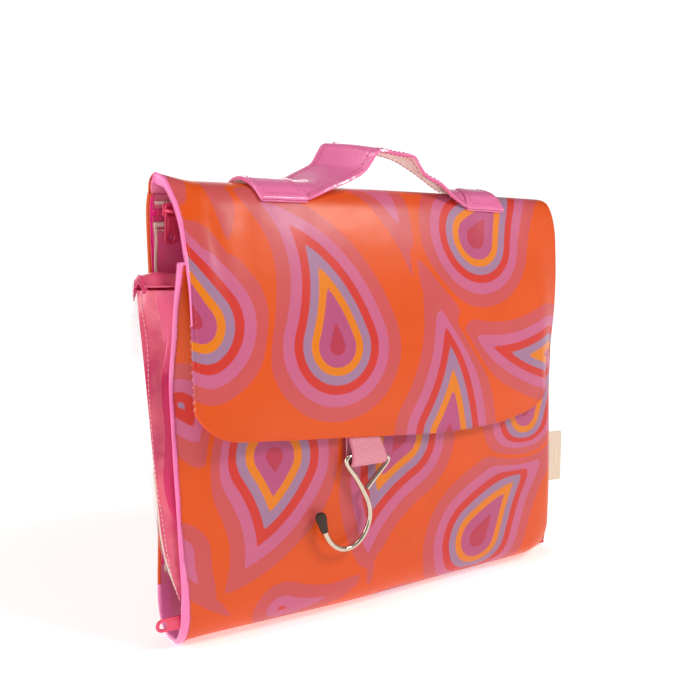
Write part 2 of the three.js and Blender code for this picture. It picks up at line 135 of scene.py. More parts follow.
class Mat:
    def __init__(self, name, **sockets):
        self.m = bpy.data.materials.new(name)
        self.m.use_nodes = True
        self.t = self.m.node_tree
        self.b = self.t.nodes["Principled BSDF"]
        for k, v in sockets.items():
            self.b.inputs[k.replace("_", " ")].default_value = v

    def node(self, kind, **props):
        n = self.t.nodes.new(kind)
        for k, v in props.items():
            setattr(n, k, v)
        return n

    def link(self, a, b):
        self.t.links.new(a, b)

    def coord(self, scale=1000.0, uv=True, rot=0.0):
        """Cloth coordinates in millimetres (the UV map), or object coordinates in millimetres."""
        if uv:
            c = self.node("ShaderNodeUVMap", uv_map="cloth").outputs["UV"]
        else:
            c = self.node("ShaderNodeTexCoord").outputs["Object"]
        mp = self.node("ShaderNodeMapping")
        mp.inputs["Scale"].default_value = (scale,) * 3
        mp.inputs["Rotation"].default_value = (0, 0, rot)
        self.link(c, mp.inputs["Vector"])
        return mp.outputs["Vector"]

    def math(self, op, a, b=None, clamp=False):
        n = self.node("ShaderNodeMath", operation=op, use_clamp=clamp)
        for i, v in enumerate((a, b)):
            if v is None:
                continue
            if isinstance(v, (int, float)):
                n.inputs[i].default_value = v
            else:
                self.link(v, n.inputs[i])
        return n.outputs[0]

    def noise(self, vec, scale, detail=3.0, rough=0.5):
        n = self.node("ShaderNodeTexNoise")
        n.inputs["Scale"].default_value = scale
        n.inputs["Detail"].default_value = detail
        n.inputs["Roughness"].default_value = rough
        self.link(vec, n.inputs["Vector"])
        return n.outputs["Fac"]

    def remap(self, v, a, b, c, d):
        n = self.node("ShaderNodeMapRange")
        for k, x in zip(("From Min", "From Max", "To Min", "To Max"), (a, b, c, d)):
            n.inputs[k].default_value = x
        self.link(v, n.inputs["Value"])
        return n.outputs["Result"]

    def scale_color(self, color, fac, amount):
        """color times (1 - amount .. 1 + amount) as fac goes 0 .. 1"""
        n = self.node("ShaderNodeHueSaturation")
        if isinstance(color, (tuple, list)):
            n.inputs["Color"].default_value = color
        else:
            self.link(color, n.inputs["Color"])
        self.link(self.remap(fac, 0, 1, 1 - amount, 1 + amount), n.inputs["Value"])
        return n.outputs["Color"]

    def mix(self, fac, a, b, blend="MIX"):
        n = self.node("ShaderNodeMix", data_type="RGBA", blend_type=blend)
        for key, v in ((0, fac), (6, a), (7, b)):
            if isinstance(v, (int, float, tuple)):
                n.inputs[key].default_value = v
            else:
                self.link(v, n.inputs[key])
        return n.outputs[2]

    def bump(self, height, strength, dist, normal=None):
        n = self.node("ShaderNodeBump")
        n.inputs["Strength"].default_value = strength
        n.inputs["Distance"].default_value = dist
        self.link(height, n.inputs["Height"])
        if normal is not None:
            self.link(normal, n.inputs["Normal"])
        return n.outputs["Normal"]

    def weave(self, vec, pitch_u, pitch_v):
        """plain weave height, 0 to 1, from coordinates in mm"""
        s = self.node("ShaderNodeSeparateXYZ")
        self.link(vec, s.inputs[0])
        su = self.math("SINE", self.math("MULTIPLY", s.outputs["X"], math.pi / pitch_u))
        sv = self.math("SINE", self.math("MULTIPLY", s.outputs["Y"], math.pi / pitch_v))
        h = self.math("MULTIPLY", su, sv)
        return self.remap(h, -1, 1, 0, 1)

    def done(self, color=None, rough=None, normal=None, coat_normal=None):
        for v, k in ((color, "Base Color"), (rough, "Roughness"), (normal, "Normal"), (coat_normal, "Coat Normal")):
            if v is not None:
                self.link(v, self.b.inputs[k])
        return self.m


ORANGE, ROSE, PINK, RED = lin(222, 82, 18), lin(202, 82, 82), lin(200, 98, 134), lin(206, 54, 44)
LILAC, AMBER, MAGENTA, CORE = lin(162, 120, 150), lin(226, 124, 20), lin(182, 80, 122), lin(182, 56, 78)
BANDS = [(-100, ORANGE), (0, ROSE), (8.4, PINK), (15.2, RED), (20.4, LILAC), (25.6, AMBER), (30.2, MAGENTA), (37.0, CORE)]


def print_material(name="print_coated_cotton", dark=1.0):
    k = Mat(name, Metallic=0.0, Coat_Weight=0.22, Coat_Roughness=0.26)
    k.b.inputs["Specular IOR Level"].default_value = 0.22
    a = k.node("ShaderNodeAttribute", attribute_name="drop_level")
    vec = k.coord()
    wob = k.noise(vec, 0.9, 2.0)
    level = k.math("ADD", a.outputs["Fac"], k.remap(wob, 0, 1, -0.16, 0.16))
    fac = k.remap(level, -4, 46, 0, 1)
    r = k.node("ShaderNodeValToRGB")
    r.color_ramp.interpolation = "LINEAR"
    els = r.color_ramp.elements
    els[0].position, els[0].color = 0.0, BANDS[0][1]
    els[1].position, els[1].color = 1.0, BANDS[-1][1]
    soft = 0.22
    for (_, below), (at, above) in zip(BANDS[:-1], BANDS[1:]):
        for pos, col in ((at - soft, below), (at + soft, above)):
            e = els.new((pos + 4) / 50)
            e.color = col
    k.link(fac, r.inputs["Fac"])
    w = k.weave(vec, 0.62, 0.62)
    grain = k.noise(vec, 2.2, 4.0, 0.7)
    big = k.noise(vec, 0.035, 3.0)
    col = k.scale_color(r.outputs["Color"], w, 0.035)
    col = k.scale_color(col, grain, 0.10)
    col = k.scale_color(col, big, 0.07)
    rough = k.remap(k.noise(vec, 0.12, 4.0), 0.3, 0.7, 0.36, 0.47)
    n1 = k.bump(w, 0.22, 0.00010)
    n2 = k.bump(k.noise(vec, 0.11, 3.0), 0.20, 0.0008, n1)
    return k.done(col, rough, n2, k.bump(k.noise(vec, 0.08, 2.0), 0.25, 0.0010))


def pvc_material(name, color, rough=0.26, coat=0.6, vary=0.08, crinkle=0.0009, deep=None):
    k = Mat(name, Coat_Weight=coat, Coat_Roughness=0.07)
    k.b.inputs["Specular IOR Level"].default_value = 0.5
    vec = k.coord(uv=False)
    fine = k.noise(vec, 1.6, 4.0, 0.6)
    big = k.noise(vec, 0.05, 3.0)
    col = k.scale_color(color, big, vary)
    col = k.scale_color(col, fine, 0.035)
    if deep is not None:
        col = k.mix(k.remap(k.noise(vec, 0.07, 2.0), 0.42, 0.62, 0, 1), col, deep)
    r = k.remap(fine, 0.3, 0.7, rough - 0.05, rough + 0.06)
    n = k.bump(fine, 0.10, 0.0001)
    n = k.bump(k.noise(vec, 0.10, 2.5), 0.35, crinkle, n)
    return k.done(col, r, n, k.bump(k.noise(vec, 0.10, 2.5), 0.35, crinkle))


def tape_material(name, color, pitch=(0.55, 0.9)):
    k = Mat(name, Sheen_Weight=0.35, Sheen_Roughness=0.5)
    vec = k.coord()
    w = k.weave(vec, *pitch)
    grain = k.noise(vec, 3.0, 3.0, 0.7)
    col = k.scale_color(color, w, 0.16)
    col = k.scale_color(col, grain, 0.10)
    return k.done(col, k.remap(grain, 0, 1, 0.62, 0.82), k.bump(w, 0.6, 0.00022))


def webbing_material():
    k = Mat("webbing_polyester", Sheen_Weight=0.3, Sheen_Roughness=0.45)
    k.b.inputs["Specular IOR Level"].default_value = 0.3
    vec = k.coord()
    a = k.node("ShaderNodeAttribute", attribute_name="relief")
    grain = k.noise(vec, 4.0, 3.0, 0.7)
    # the weave is darker in its grooves and paler on its rib tops, following the relief height: painted shade and
    # painted highlight
    col = k.mix(k.remap(a.outputs["Fac"], 0.0, 0.85, 0, 1), lin(198, 96, 122), lin(240, 168, 180))
    col = k.scale_color(col, grain, 0.10)
    return k.done(col, k.remap(grain, 0, 1, 0.55, 0.78), k.bump(k.noise(vec, 6.0, 3.0), 0.35, 0.0001))


def clear_material(name="clear_soft_pvc", alpha=0.085, tint=lin(252, 226, 226)):
    k = Mat(name, Coat_Weight=0.45, Coat_Roughness=0.10)
    k.b.inputs["Specular IOR Level"].default_value = 0.5
    k.b.inputs["Alpha"].default_value = alpha
    vec = k.coord(uv=False)
    big = k.noise(vec, 0.045, 2.0)
    fine = k.noise(vec, 0.9, 3.0)
    col = k.scale_color(tint, fine, 0.03)
    h = k.bump(big, 0.6, 0.004)
    return k.done(col, k.remap(fine, 0.3, 0.7, 0.14, 0.24), h, h)


def metal_material():
    k = Mat("nickel_plated_wire", Metallic=1.0)
    vec = k.coord(uv=False)
    fine = k.noise(vec, 3.0, 4.0, 0.6)
    big = k.noise(vec, 0.15, 2.0)
    col = k.scale_color(lin(206, 192, 174), big, 0.10)
    return k.done(col, k.remap(fine, 0.3, 0.7, 0.10, 0.20), k.bump(fine, 0.10, 0.00003))


def paint_material():
    k = Mat("zip_paint_pink", Metallic=0.25, Coat_Weight=0.7, Coat_Roughness=0.1)
    vec = k.coord(uv=False)
    fine = k.noise(vec, 2.2, 4.0, 0.6)
    col = k.scale_color(lin(232, 62, 102), k.noise(vec, 0.4, 2.0), 0.06)
    col = k.scale_color(col, fine, 0.04)
    return k.done(col, k.remap(fine, 0.3, 0.7, 0.28, 0.42), k.bump(fine, 0.15, 0.00004))


def rubber_material():
    k = Mat("moulded_rubber")
    k.b.inputs["Specular IOR Level"].default_value = 0.35
    vec = k.coord(uv=False)
    fine = k.noise(vec, 3.5, 5.0, 0.7)
    col = k.scale_color(lin(58, 42, 33), fine, 0.25)
    return k.done(col, k.remap(fine, 0.3, 0.7, 0.50, 0.70), k.bump(fine, 0.35, 0.00012))


def thread_material(name, color):
    k = Mat(name, Sheen_Weight=0.4, Sheen_Roughness=0.4)
    vec = k.coord(uv=False)
    tw = k.noise(vec, 3.0, 3.0, 0.6)
    return k.done(k.scale_color(color, tw, 0.14), k.remap(tw, 0, 1, 0.45, 0.7), k.bump(tw, 0.4, 0.0001))


def label_material():
    k = Mat("woven_label_cream", Sheen_Weight=0.2)
    vec = k.coord(uv=False)
    s = k.node("ShaderNodeSeparateXYZ")
    k.link(vec, s.inputs[0])
    sx = k.math("SINE", k.math("MULTIPLY", s.outputs["X"], math.pi / 0.35))
    sz = k.math("SINE", k.math("MULTIPLY", s.outputs["Z"], math.pi / 0.35))
    w = k.remap(k.math("MULTIPLY", sx, sz), -1, 1, 0, 1)
    col = k.scale_color(lin(231, 213, 190), w, 0.05)
    col = k.scale_color(col, k.noise(vec, 0.6, 3.0), 0.05)
    return k.done(col, k.remap(w, 0, 1, 0.55, 0.7), k.bump(w, 0.35, 0.00008))


M_PRINT = print_material()
M_LINING = pvc_material("lining_pvc_pink", lin(238, 122, 160), 0.27, 0.55, crinkle=0.0016)
# a deeper, more saturated copy of the lining for its part behind the upper pocket's window: painted shade
M_LINING_PAINTED_SHADE = pvc_material("lining_pvc_painted_shade", lin(255, 26, 142), 0.27, 0.5, crinkle=0.0016)
M_HEM = pvc_material("hem_pvc_pink", lin(246, 122, 182), 0.3, 0.5, crinkle=0.0008)
M_STRAP = pvc_material("strap_pvc_pink", lin(236, 118, 168), 0.22, 0.75, 0.07, crinkle=0.0009)
M_STRAP_BACK = pvc_material("strap_underside", lin(238, 190, 180), 0.5, 0.15, 0.08)
M_SALMON = pvc_material("gusset_salmon", lin(230, 98, 122), 0.34, 0.5, 0.12, deep=lin(214, 62, 106))
# a darker hot pink copy of the gusset material, for the half of the fold that turns inwards and for the cap's return:
# painted shade
M_GUSSET_PAINTED_SHADE = pvc_material("gusset_painted_shade_pink", lin(214, 36, 100), 0.34, 0.5, 0.12)
M_TAPE = tape_material("zip_tape_weave", lin(214, 44, 108))
M_COIL = pvc_material("zip_coil_nylon", lin(222, 50, 100), 0.4, 0.25, 0.06, 0.0002)
M_WEB = webbing_material()
M_CLEAR = clear_material()
# a nearly opaque pale band for the clear film's edges: the sewn turned edges, and down the left sides partly a painted
# highlight for the glint along them
M_CLEAR_EDGE_AND_GLINT = clear_material("clear_pvc_edge_and_painted_glint", 0.72, lin(250, 226, 210))
M_METAL = metal_material()
M_PAINT = paint_material()
M_RUBBER = rubber_material()
M_LABEL = label_material()
M_THREAD_PINK = thread_material("thread_pink", lin(236, 112, 150))
M_THREAD_PALE = thread_material("thread_pale", lin(246, 196, 200))
M_THREAD_ROSE = thread_material("thread_rose", lin(214, 96, 138))


# ------------------------------------------------------------------ mesh tools (millimetres in, metres out)
def new_mesh(name, verts, faces, mats, mat_ids=None, attrs=None, uv=None, sharp=50.0, tris=None):
    """faces: (n, 4) array of quads, tris: (m, 3) array."""
    quads = np.asarray(faces, int).reshape(-1, 4)
    me = bpy.data.meshes.new(name)
    parts = [quads.ravel()]
    totals = [np.full(len(quads), 4)]
    if tris is not None and len(tris):
        parts.append(np.asarray(tris, int).ravel())
        totals.append(np.full(len(tris), 3))
    loops = np.concatenate(parts)
    total = np.concatenate(totals)
    start = np.concatenate([[0], np.cumsum(total)[:-1]])
    me.vertices.add(len(verts))
    me.vertices.foreach_set("co", (np.asarray(verts, float) * MM).astype(np.float32).ravel())
    me.loops.add(len(loops))
    me.loops.foreach_set("vertex_index", loops.astype(np.int32))
    me.polygons.add(len(total))
    me.polygons.foreach_set("loop_start", start.astype(np.int32))
    me.polygons.foreach_set("loop_total", total.astype(np.int32))
    if mat_ids is not None:
        me.polygons.foreach_set("material_index", np.asarray(mat_ids, np.int32))
    me.update(calc_edges=True)
    me.validate()
    for m in mats:
        me.materials.append(m)
    if uv is not None:
        layer = me.uv_layers.new(name="cloth")
        idx = np.zeros(len(me.loops), np.int32)
        me.loops.foreach_get("vertex_index", idx)
        layer.data.foreach_set("uv", (np.asarray(uv, float)[idx] * MM).astype(np.float32).ravel())
    for key, val in (attrs or {}).items():
        at = me.attributes.new(key, "FLOAT", "POINT")
        at.data.foreach_set("value", np.asarray(val, np.float32))
    me.polygons.foreach_set("use_smooth", np.ones(len(me.polygons), bool))
    me.set_sharp_from_angle(angle=math.radians(sharp))
    o = bpy.data.objects.new(name, me)
    scene.collection.objects.link(o)
    return o


def volume(v, f):
    a, b, c, d = (v[f[:, i]] for i in range(4))
    return float((np.einsum("ij,ij->i", a, np.cross(b, c)) + np.einsum("ij,ij->i", a, np.cross(c, d))).sum())


def unit(v):
    return v / np.maximum(np.linalg.norm(v, axis=-1, keepdims=True), 1e-9)


def grid_normals(P):
    return unit(np.cross(np.gradient(P, axis=0), np.gradient(P, axis=1)))


def shell(name, P, t, mats, out, rim=0.3, attrs=None, uv=None, back_mat=0, rim_mat=0, col_mats=None, inner_shift=None):
    """A closed sheet of thickness t behind the face P (nx, ns, 3). out: a rough outward direction."""
    nx, ns = P.shape[:2]
    N = grid_normals(P)
    if (N.reshape(-1, 3) @ np.asarray(out, float)).mean() < 0 if not callable(out) else (N * out(P)).sum() < 0:
        N = -N
    T = t if np.isscalar(t) else np.asarray(t)[..., None]
    Q = P - N * T
    if inner_shift is not None:
        Q = Q + inner_shift
    ids = np.arange(nx * ns).reshape(nx, ns)
    per = np.concatenate([ids[:-1, 0], ids[-1, :-1], ids[:0:-1, -1], ids[0, :0:-1]])
    inn = np.concatenate([ids[:-1, 1], ids[-2, :-1], ids[:0:-1, -2], ids[1, :0:-1]])
    pv, qv = P.reshape(-1, 3), Q.reshape(-1, 3)
    mid = (pv[per] + qv[per]) / 2 + unit(pv[per] - pv[inn]) * (t if np.isscalar(t) else float(np.mean(t))) * rim
    V = np.concatenate([pv, qv, mid])
    n0, m0 = nx * ns, 2 * nx * ns
    a = ids[:-1, :-1].ravel(); b = ids[1:, :-1].ravel(); c = ids[1:, 1:].ravel(); d = ids[:-1, 1:].ravel()
    outer = np.stack([a, b, c, d], 1)
    inner = np.stack([a, d, c, b], 1) + n0
    k = np.arange(len(per)); kn = (k + 1) % len(per)
    r1 = np.stack([per[kn], per[k], m0 + k, m0 + kn], 1)
    r2 = np.stack([m0 + kn, m0 + k, n0 + per[k], n0 + per[kn]], 1)
    F = np.concatenate([outer, inner, r1, r2])
    if volume(V, F) < 0:
        F = F[:, ::-1]
    om = np.zeros(len(outer), int) if col_mats is None else np.asarray(col_mats).ravel()
    ids_m = np.concatenate([om, np.full(len(inner), back_mat) if back_mat != "same" else om, np.full(len(r1) + len(r2), rim_mat)])
    A = {kk: np.concatenate([v.ravel(), v.ravel(), v.ravel()[per]]) for kk, v in (attrs or {}).items()}
    U = None
    if uv is not None:
        u = uv.reshape(-1, 2)
        U = np.concatenate([u, u, u[per]])
    return new_mesh(name, V, F, mats, ids_m, A, U), N


def catmull(pts, n, closed=False):
    """dense smooth line through pts (k, d), n points evenly spaced along it"""
    p = np.asarray(pts, float)
    k = len(p)
    if closed:
        ext = np.concatenate([p[-1:], p, p[:2]])
        segs = k
    else:
        ext = np.concatenate([2 * p[:1] - p[1:2], p, 2 * p[-1:] - p[-2:-1]])
        segs = k - 1
    out = []
    for i in range(segs):
        p0, p1, p2, p3 = ext[i:i + 4]
        t0 = 0.0
        t1 = t0 + max(np.linalg.norm(p1 - p0), 1e-6) ** 0.5
        t2 = t1 + max(np.linalg.norm(p2 - p1), 1e-6) ** 0.5
        t3 = t2 + max(np.linalg.norm(p3 - p2), 1e-6) ** 0.5
        t = np.linspace(t1, t2, 24, endpoint=False)[:, None]
        a1 = (t1 - t) / (t1 - t0) * p0 + (t - t0) / (t1 - t0) * p1
        a2 = (t2 - t) / (t2 - t1) * p1 + (t - t1) / (t2 - t1) * p2
        a3 = (t3 - t) / (t3 - t2) * p2 + (t - t2) / (t3 - t2) * p3
        b1 = (t2 - t) / (t2 - t0) * a1 + (t - t0) / (t2 - t0) * a2
        b2 = (t3 - t) / (t3 - t1) * a2 + (t - t1) / (t3 - t1) * a3
        out.append((t2 - t) / (t2 - t1) * b1 + (t - t1) / (t2 - t1) * b2)
    out = np.concatenate(out + [p[:1] if closed else p[-1:]])
    return respace(out, n)


def arc(line):
    return np.concatenate([[0], np.cumsum(np.linalg.norm(np.diff(line, axis=0), axis=1))])


def respace(line, n):
    s = arc(line)
    u = np.linspace(0, s[-1], n) if np.isscalar(n) else np.asarray(n) * s[-1]
    return np.stack([np.interp(u, s, line[:, j]) for j in range(line.shape[1])], 1)


def hermite(xs, Y, xq):
    """smooth interpolation of Y (k, ...) given at xs, at xq, without overshoot"""
    xs = np.asarray(xs, float)
    Y = np.asarray(Y, float)
    h = np.diff(xs)
    hh = h.reshape((-1,) + (1,) * (Y.ndim - 1))
    d = np.diff(Y, axis=0) / hh
    m = np.zeros_like(Y)
    m[0], m[-1] = d[0], d[-1]
    for i in range(1, len(xs) - 1):
        same = d[i - 1] * d[i] > 0
        w1, w2 = 2 * h[i] + h[i - 1], h[i] + 2 * h[i - 1]
        with np.errstate(divide="ignore", invalid="ignore"):
            hm = (w1 + w2) / (w1 / d[i - 1] + w2 / d[i])
        m[i] = np.where(same, hm, 0.0)
    xq = np.clip(xq, xs[0], xs[-1])
    i = np.clip(np.searchsorted(xs, xq) - 1, 0, len(xs) - 2)
    t = ((xq - xs[i]) / h[i]).reshape((-1,) + (1,) * (Y.ndim - 1))
    H = h[i].reshape(t.shape)
    return ((2 * t ** 3 - 3 * t ** 2 + 1) * Y[i] + (t ** 3 - 2 * t ** 2 + t) * H * m[i]
            + (-2 * t ** 3 + 3 * t ** 2) * Y[i + 1] + (t ** 3 - t ** 2) * H * m[i + 1])


def loft(stations, nx, ns, c=None, dense=400):
    """stations: [(c, [(x, y, z), ...]), ...]; returns the surface (nx, ns, 3) with even rows"""
    cs = [s[0] for s in stations]
    lines = np.stack([catmull(s[1], dense) for s in stations])
    q = np.linspace(cs[0], cs[-1], nx) if c is None else np.asarray(c)
    G = hermite(cs, lines, q)
    return np.stack([respace(g, ns) for g in G])


def tube(name, path, r, mats, sides=20, caps=True, uvs=True, sharp=50.0):
    path = np.asarray(path, float)
    n = len(path)
    T = unit(np.gradient(path, axis=0))
    up = np.array([0.0, 1.0, 0.0])
    if abs(T[0] @ up) > 0.9:
        up = np.array([1.0, 0, 0])
    frames = []
    a = unit(np.cross(T[0], up))
    for i in range(n):
        a = unit(a - T[i] * (a @ T[i]))
        frames.append((a, np.cross(T[i], a)))
    R = np.full(n, r, float) if np.isscalar(r) else np.asarray(r, float)
    ang = np.linspace(0, 2 * math.pi, sides, endpoint=False)
    rings = np.stack([path[i] + R[i] * (np.cos(ang)[:, None] * frames[i][0] + np.sin(ang)[:, None] * frames[i][1]) for i in range(n)])
    V = rings.reshape(-1, 3)
    i = np.arange(n - 1)[:, None] * sides
    j = np.arange(sides)[None, :]
    jn = (j + 1) % sides
    F = np.stack([i + j, i + jn, i + sides + jn, i + sides + j], -1).reshape(-1, 4)
    tris = []
    if caps:
        c0, c1 = len(V), len(V) + 1
        V = np.concatenate([V, path[:1] - T[:1] * R[0] * 0.3, path[-1:] + T[-1:] * R[-1] * 0.3])
        jj = np.arange(sides)
        tris = np.concatenate([np.stack([np.full(sides, c0), (jj + 1) % sides, jj], 1),
                               np.stack([np.full(sides, c1), (n - 1) * sides + jj, (n - 1) * sides + (jj + 1) % sides], 1)])
    if volume(V, F) < 0:
        F = F[:, ::-1]
        tris = tris[:, ::-1] if len(tris) else tris
    return new_mesh(name, V, F, mats, tris=tris if len(tris) else None, sharp=sharp)


def capsules(name, starts, ends, r, mat, normals=None, sink=0.3, arch=0.0):
    """many short stitches as one mesh"""
    starts, ends = np.asarray(starts, float), np.asarray(ends, float)
    n = len(starts)
    sides, prof = 6, [(0.0, 0.35), (0.12, 0.85), (0.5, 1.0), (0.88, 0.85), (1.0, 0.35)]
    ax = unit(ends - starts)
    nn = np.tile([0.0, -1.0, 0.0], (n, 1)) if normals is None else unit(np.asarray(normals, float))
    b = unit(np.cross(ax, nn))
    nn = np.cross(b, ax)
    V = []
    for u, k in prof:
        c = starts + (ends - starts) * u + nn * (r * (1 - sink) * 1.0 - r * 0.6 * (1 - k) + arch * math.sin(math.pi * u))
        for s in range(sides):
            a = 2 * math.pi * s / sides
            V.append(c + r * k * (math.cos(a) * b + math.sin(a) * nn))
    V = np.stack(V, 1)  # n, rings*sides, 3
    F, Tt = [], []
    for g in range(len(prof) - 1):
        for s in range(sides):
            s2 = (s + 1) % sides
            F.append((g * sides + s, g * sides + s2, (g + 1) * sides + s2, (g + 1) * sides + s))
    last = (len(prof) - 1) * sides
    for s in range(1, sides - 1):
        Tt.append((0, s + 1, s))
        Tt.append((last, last + s, last + s + 1))
    base = (np.arange(n) * len(prof) * sides)[:, None, None]
    F = (np.array(F)[None] + base).reshape(-1, 4)
    Tt = (np.array(Tt)[None] + base).reshape(-1, 3)
    VV = V.reshape(-1, 3)
    if volume(VV, F) < 0:
        F, Tt = F[:, ::-1], Tt[:, ::-1]
    return new_mesh(name, VV, F, [mat], tris=Tt, sharp=80)


def stitch_line(line, normals, pitch=3.0, length=2.1, wobble=0.12):
    """start and end points, and normals, of stitches along a line"""
    s = arc(line)
    n = max(1, int(s[-1] // pitch))
    off = (s[-1] - n * pitch) / 2
    at = off + pitch * np.arange(n)
    f = lambda q: np.stack([np.interp(q, s, line[:, j]) for j in range(3)], 1)
    g = np.stack([np.interp(at + length / 2, s, normals[:, j]) for j in range(3)], 1)
    a, b = f(at), f(at + length)
    j = RNG.normal(0, wobble, (n, 3)) * 0.5
    return a + j, b - j, g


def stitches(name, segs, r, mat, sink=0.3):
    a, b, g = (np.concatenate([s[i] for s in segs]) for i in range(3))
    return capsules(name, a, b, r, mat, g, sink)


# ------------------------------------------------------------------ the print
def drop(head, tail, R, bend=0.0, power=1.08):
    h, t = np.array(head, float), np.array(tail, float)
    d = t - h
    ctrl = (h + t) / 2 + np.array([-d[1], d[0]]) * bend
    u = np.linspace(0, 1, 48)[:, None]
    c = (1 - u) ** 2 * h + 2 * u * (1 - u) * ctrl + u ** 2 * t
    r = R * (1 - u[:, 0]) ** power
    return c, r


def level_of(q, drops):
    """how many millimetres a point of the cloth lies inside the nearest drop"""
    first, second = np.full(len(q), -60.0), np.full(len(q), -60.0)
    for c, r in drops:
        lo, hi = c.min(0) - r.max() - 9, c.max(0) + r.max() + 9
        sel = np.nonzero(((q > lo) & (q < hi)).all(1))[0]
        if len(sel) == 0:
            continue
        best = np.full(len(sel), -60.0)
        for ci, ri in zip(c, r):
            best = np.maximum(best, ri - np.hypot(q[sel, 0] - ci[0], q[sel, 1] - ci[1]))
        a, b = first[sel], second[sel]
        first[sel] = np.maximum(a, best)
        second[sel] = np.maximum(b, np.minimum(a, best))
    gap = second + 2.5
    return first - 2.0 * np.logaddexp(0, gap / 2.0)


FLAP_DROPS = [
    drop((-50, 149), (-118, 246), 42, -0.36, 1.12),
    drop((-131, 165), (-158, 250), 42, -0.12, 1.1),
    drop((-112, 262), (-110, 202), 14, 0.10, 1.0),
    drop((-136, 246), (-122, 206), 11, -0.14, 1.0),
    drop((-22, 268), (4, 180), 24, 0.16, 1.1),
    drop((58, 212), (160, 262), 44, 0.26, 1.1),
    drop((126, 138), (14, 178), 34, 0.26, 1.12),
    drop((26, 92), (2, 206), 40, -0.24, 1.1),
    drop((-112, 84), (-156, 116), 17, 0.16, 1.1),
]
FRONT_DROPS = [
    drop((-88, 92), (-122, 18), 42, 0.24, 1.1),
    drop((-6, 94), (-26, 4), 42, -0.24, 1.1),
    drop((56, 20), (156, 66), 44, 0.28, 1.1),
    drop((100, 96), (176, 128), 40, 0.12, 1.2),
    drop((-140, 44), (-112, 4), 15, -0.16, 1.1),
    drop((-84, 4), (-22, 26), 17, -0.26, 1.2),
    drop((-134, 120), (-126, 66), 22, 0.16, 1.2),
    drop((-80, 176), (-30, 205), 30, 0.1),
    drop((40, 176), (96, 200), 30, -0.1),
    drop((-2, -22), (60, -30), 20, 0.1),
]
BACK_DROPS = [
    drop((-96, 190), (-30, 228), 42, 0.14),
    drop((-110, 96), (-128, 24), 42, -0.10),
    drop((-22, 128), (-6, 210), 40, 0.12),
    drop((10, 44), (-60, 14), 40, 0.14),
    drop((66, 196), (140, 170), 42, -0.14),
    drop((84, 92), (70, 168), 40, 0.12),
    drop((118, 30), (60, -6), 34, -0.12),
    drop((-60, 64), (-52, 104), 20, 0.1),
    drop((132, 118), (128, 152), 18, 0.1),
    drop((-136, 150), (-138, 120), 20, 0.1),
    drop((22, 232), (60, 246), 18, 0.1),
]


def print_attrs(xq, drops):
    q = np.stack([xq[0].ravel(), xq[1].ravel()], 1)
    return {"drop_level": level_of(q, drops).reshape(xq[0].shape)}


def bumps(x, q, amp, seed, scale=60.0, n=7):
    """gentle seeded undulation of a sheet"""
    r = np.random.RandomState(seed)
    out = np.zeros_like(x)
    for _ in range(n):
        kx, kq = r.normal(0, 1, 2) / scale * 2 * math.pi * 0.5
        out += np.sin(kx * x + kq * q + r.uniform(0, 6.28))
    return amp * out / math.sqrt(n)


# ------------------------------------------------------------------ section data, x y z in mm
def col(x, pts):
    return [(x, y, z) if not isinstance(x, (list, tuple)) else None for y, z in pts]


BACK_ST = [
    (-1.0, [(-139.6, 16.0, 241.5), (-140, 17.6, 235), (-140, 18.2, 217), (-140, 18.0, 203), (-140, 18.0, 160), (-140, 18.4, 120), (-140, 18.2, 66),
            (-140, 19.2, 46), (-140, 20.6, 28), (-140, 21.0, 17), (-139.8, 18.8, 7.4), (-139.6, 13.0, 2.0), (-139.4, 6.0, 0.45), (-139, 0.0, 0.5)]),
    (-0.86, [(-120, 15.2, 242.3), (-120, 17.9, 234), (-120, 19.2, 217), (-120, 19.0, 203), (-120, 19.2, 160), (-120, 19.8, 110), (-120, 20.4, 66),
             (-120, 20.9, 40), (-120, 20.6, 22), (-120, 18.4, 10.5), (-120, 13.6, 4.4), (-120, 7.0, 2.2), (-120, 3.0, 1.8), (-120, 0.0, 1.7)]),
    (0.0, [(0, 14.0, 243.2), (0, 17.6, 233), (0, 19.2, 218), (0, 19.2, 203), (0, 19.6, 160), (0, 20.6, 100), (0, 21.3, 60),
           (0, 21.2, 38), (0, 20.4, 20), (0, 17.2, 8.0), (0, 12.0, 2.8), (0, 6.0, 0.9), (0, 3.0, 0.6), (0, 0.0, 0.5)]),
    (0.86, [(120, 13.6, 243.0), (120, 17.4, 233), (120, 18.6, 218), (120, 18.4, 203), (120, 18.6, 160), (120, 19.0, 100), (120, 19.4, 60),
            (120, 19.4, 38), (120, 18.8, 20), (120, 16.4, 9.5), (120, 12.4, 4.2), (120, 7.0, 2.0), (120, 3.0, 1.6), (120, 0.6, 1.6)]),
    (1.0, [(139.6, 13.6, 242.6), (140, 18.3, 233), (140, 19.5, 218), (140, 19.2, 203), (140, 18.0, 160), (140, 17.6, 100), (140, 17.4, 60),
           (140, 17.4, 38), (140, 16.8, 20), (139.8, 14.4, 9.5), (139.8, 11.4, 4.6), (139.6, 7.0, 2.4), (139.4, 3.5, 2.0), (139.2, 1.6, 2.0)]),
]
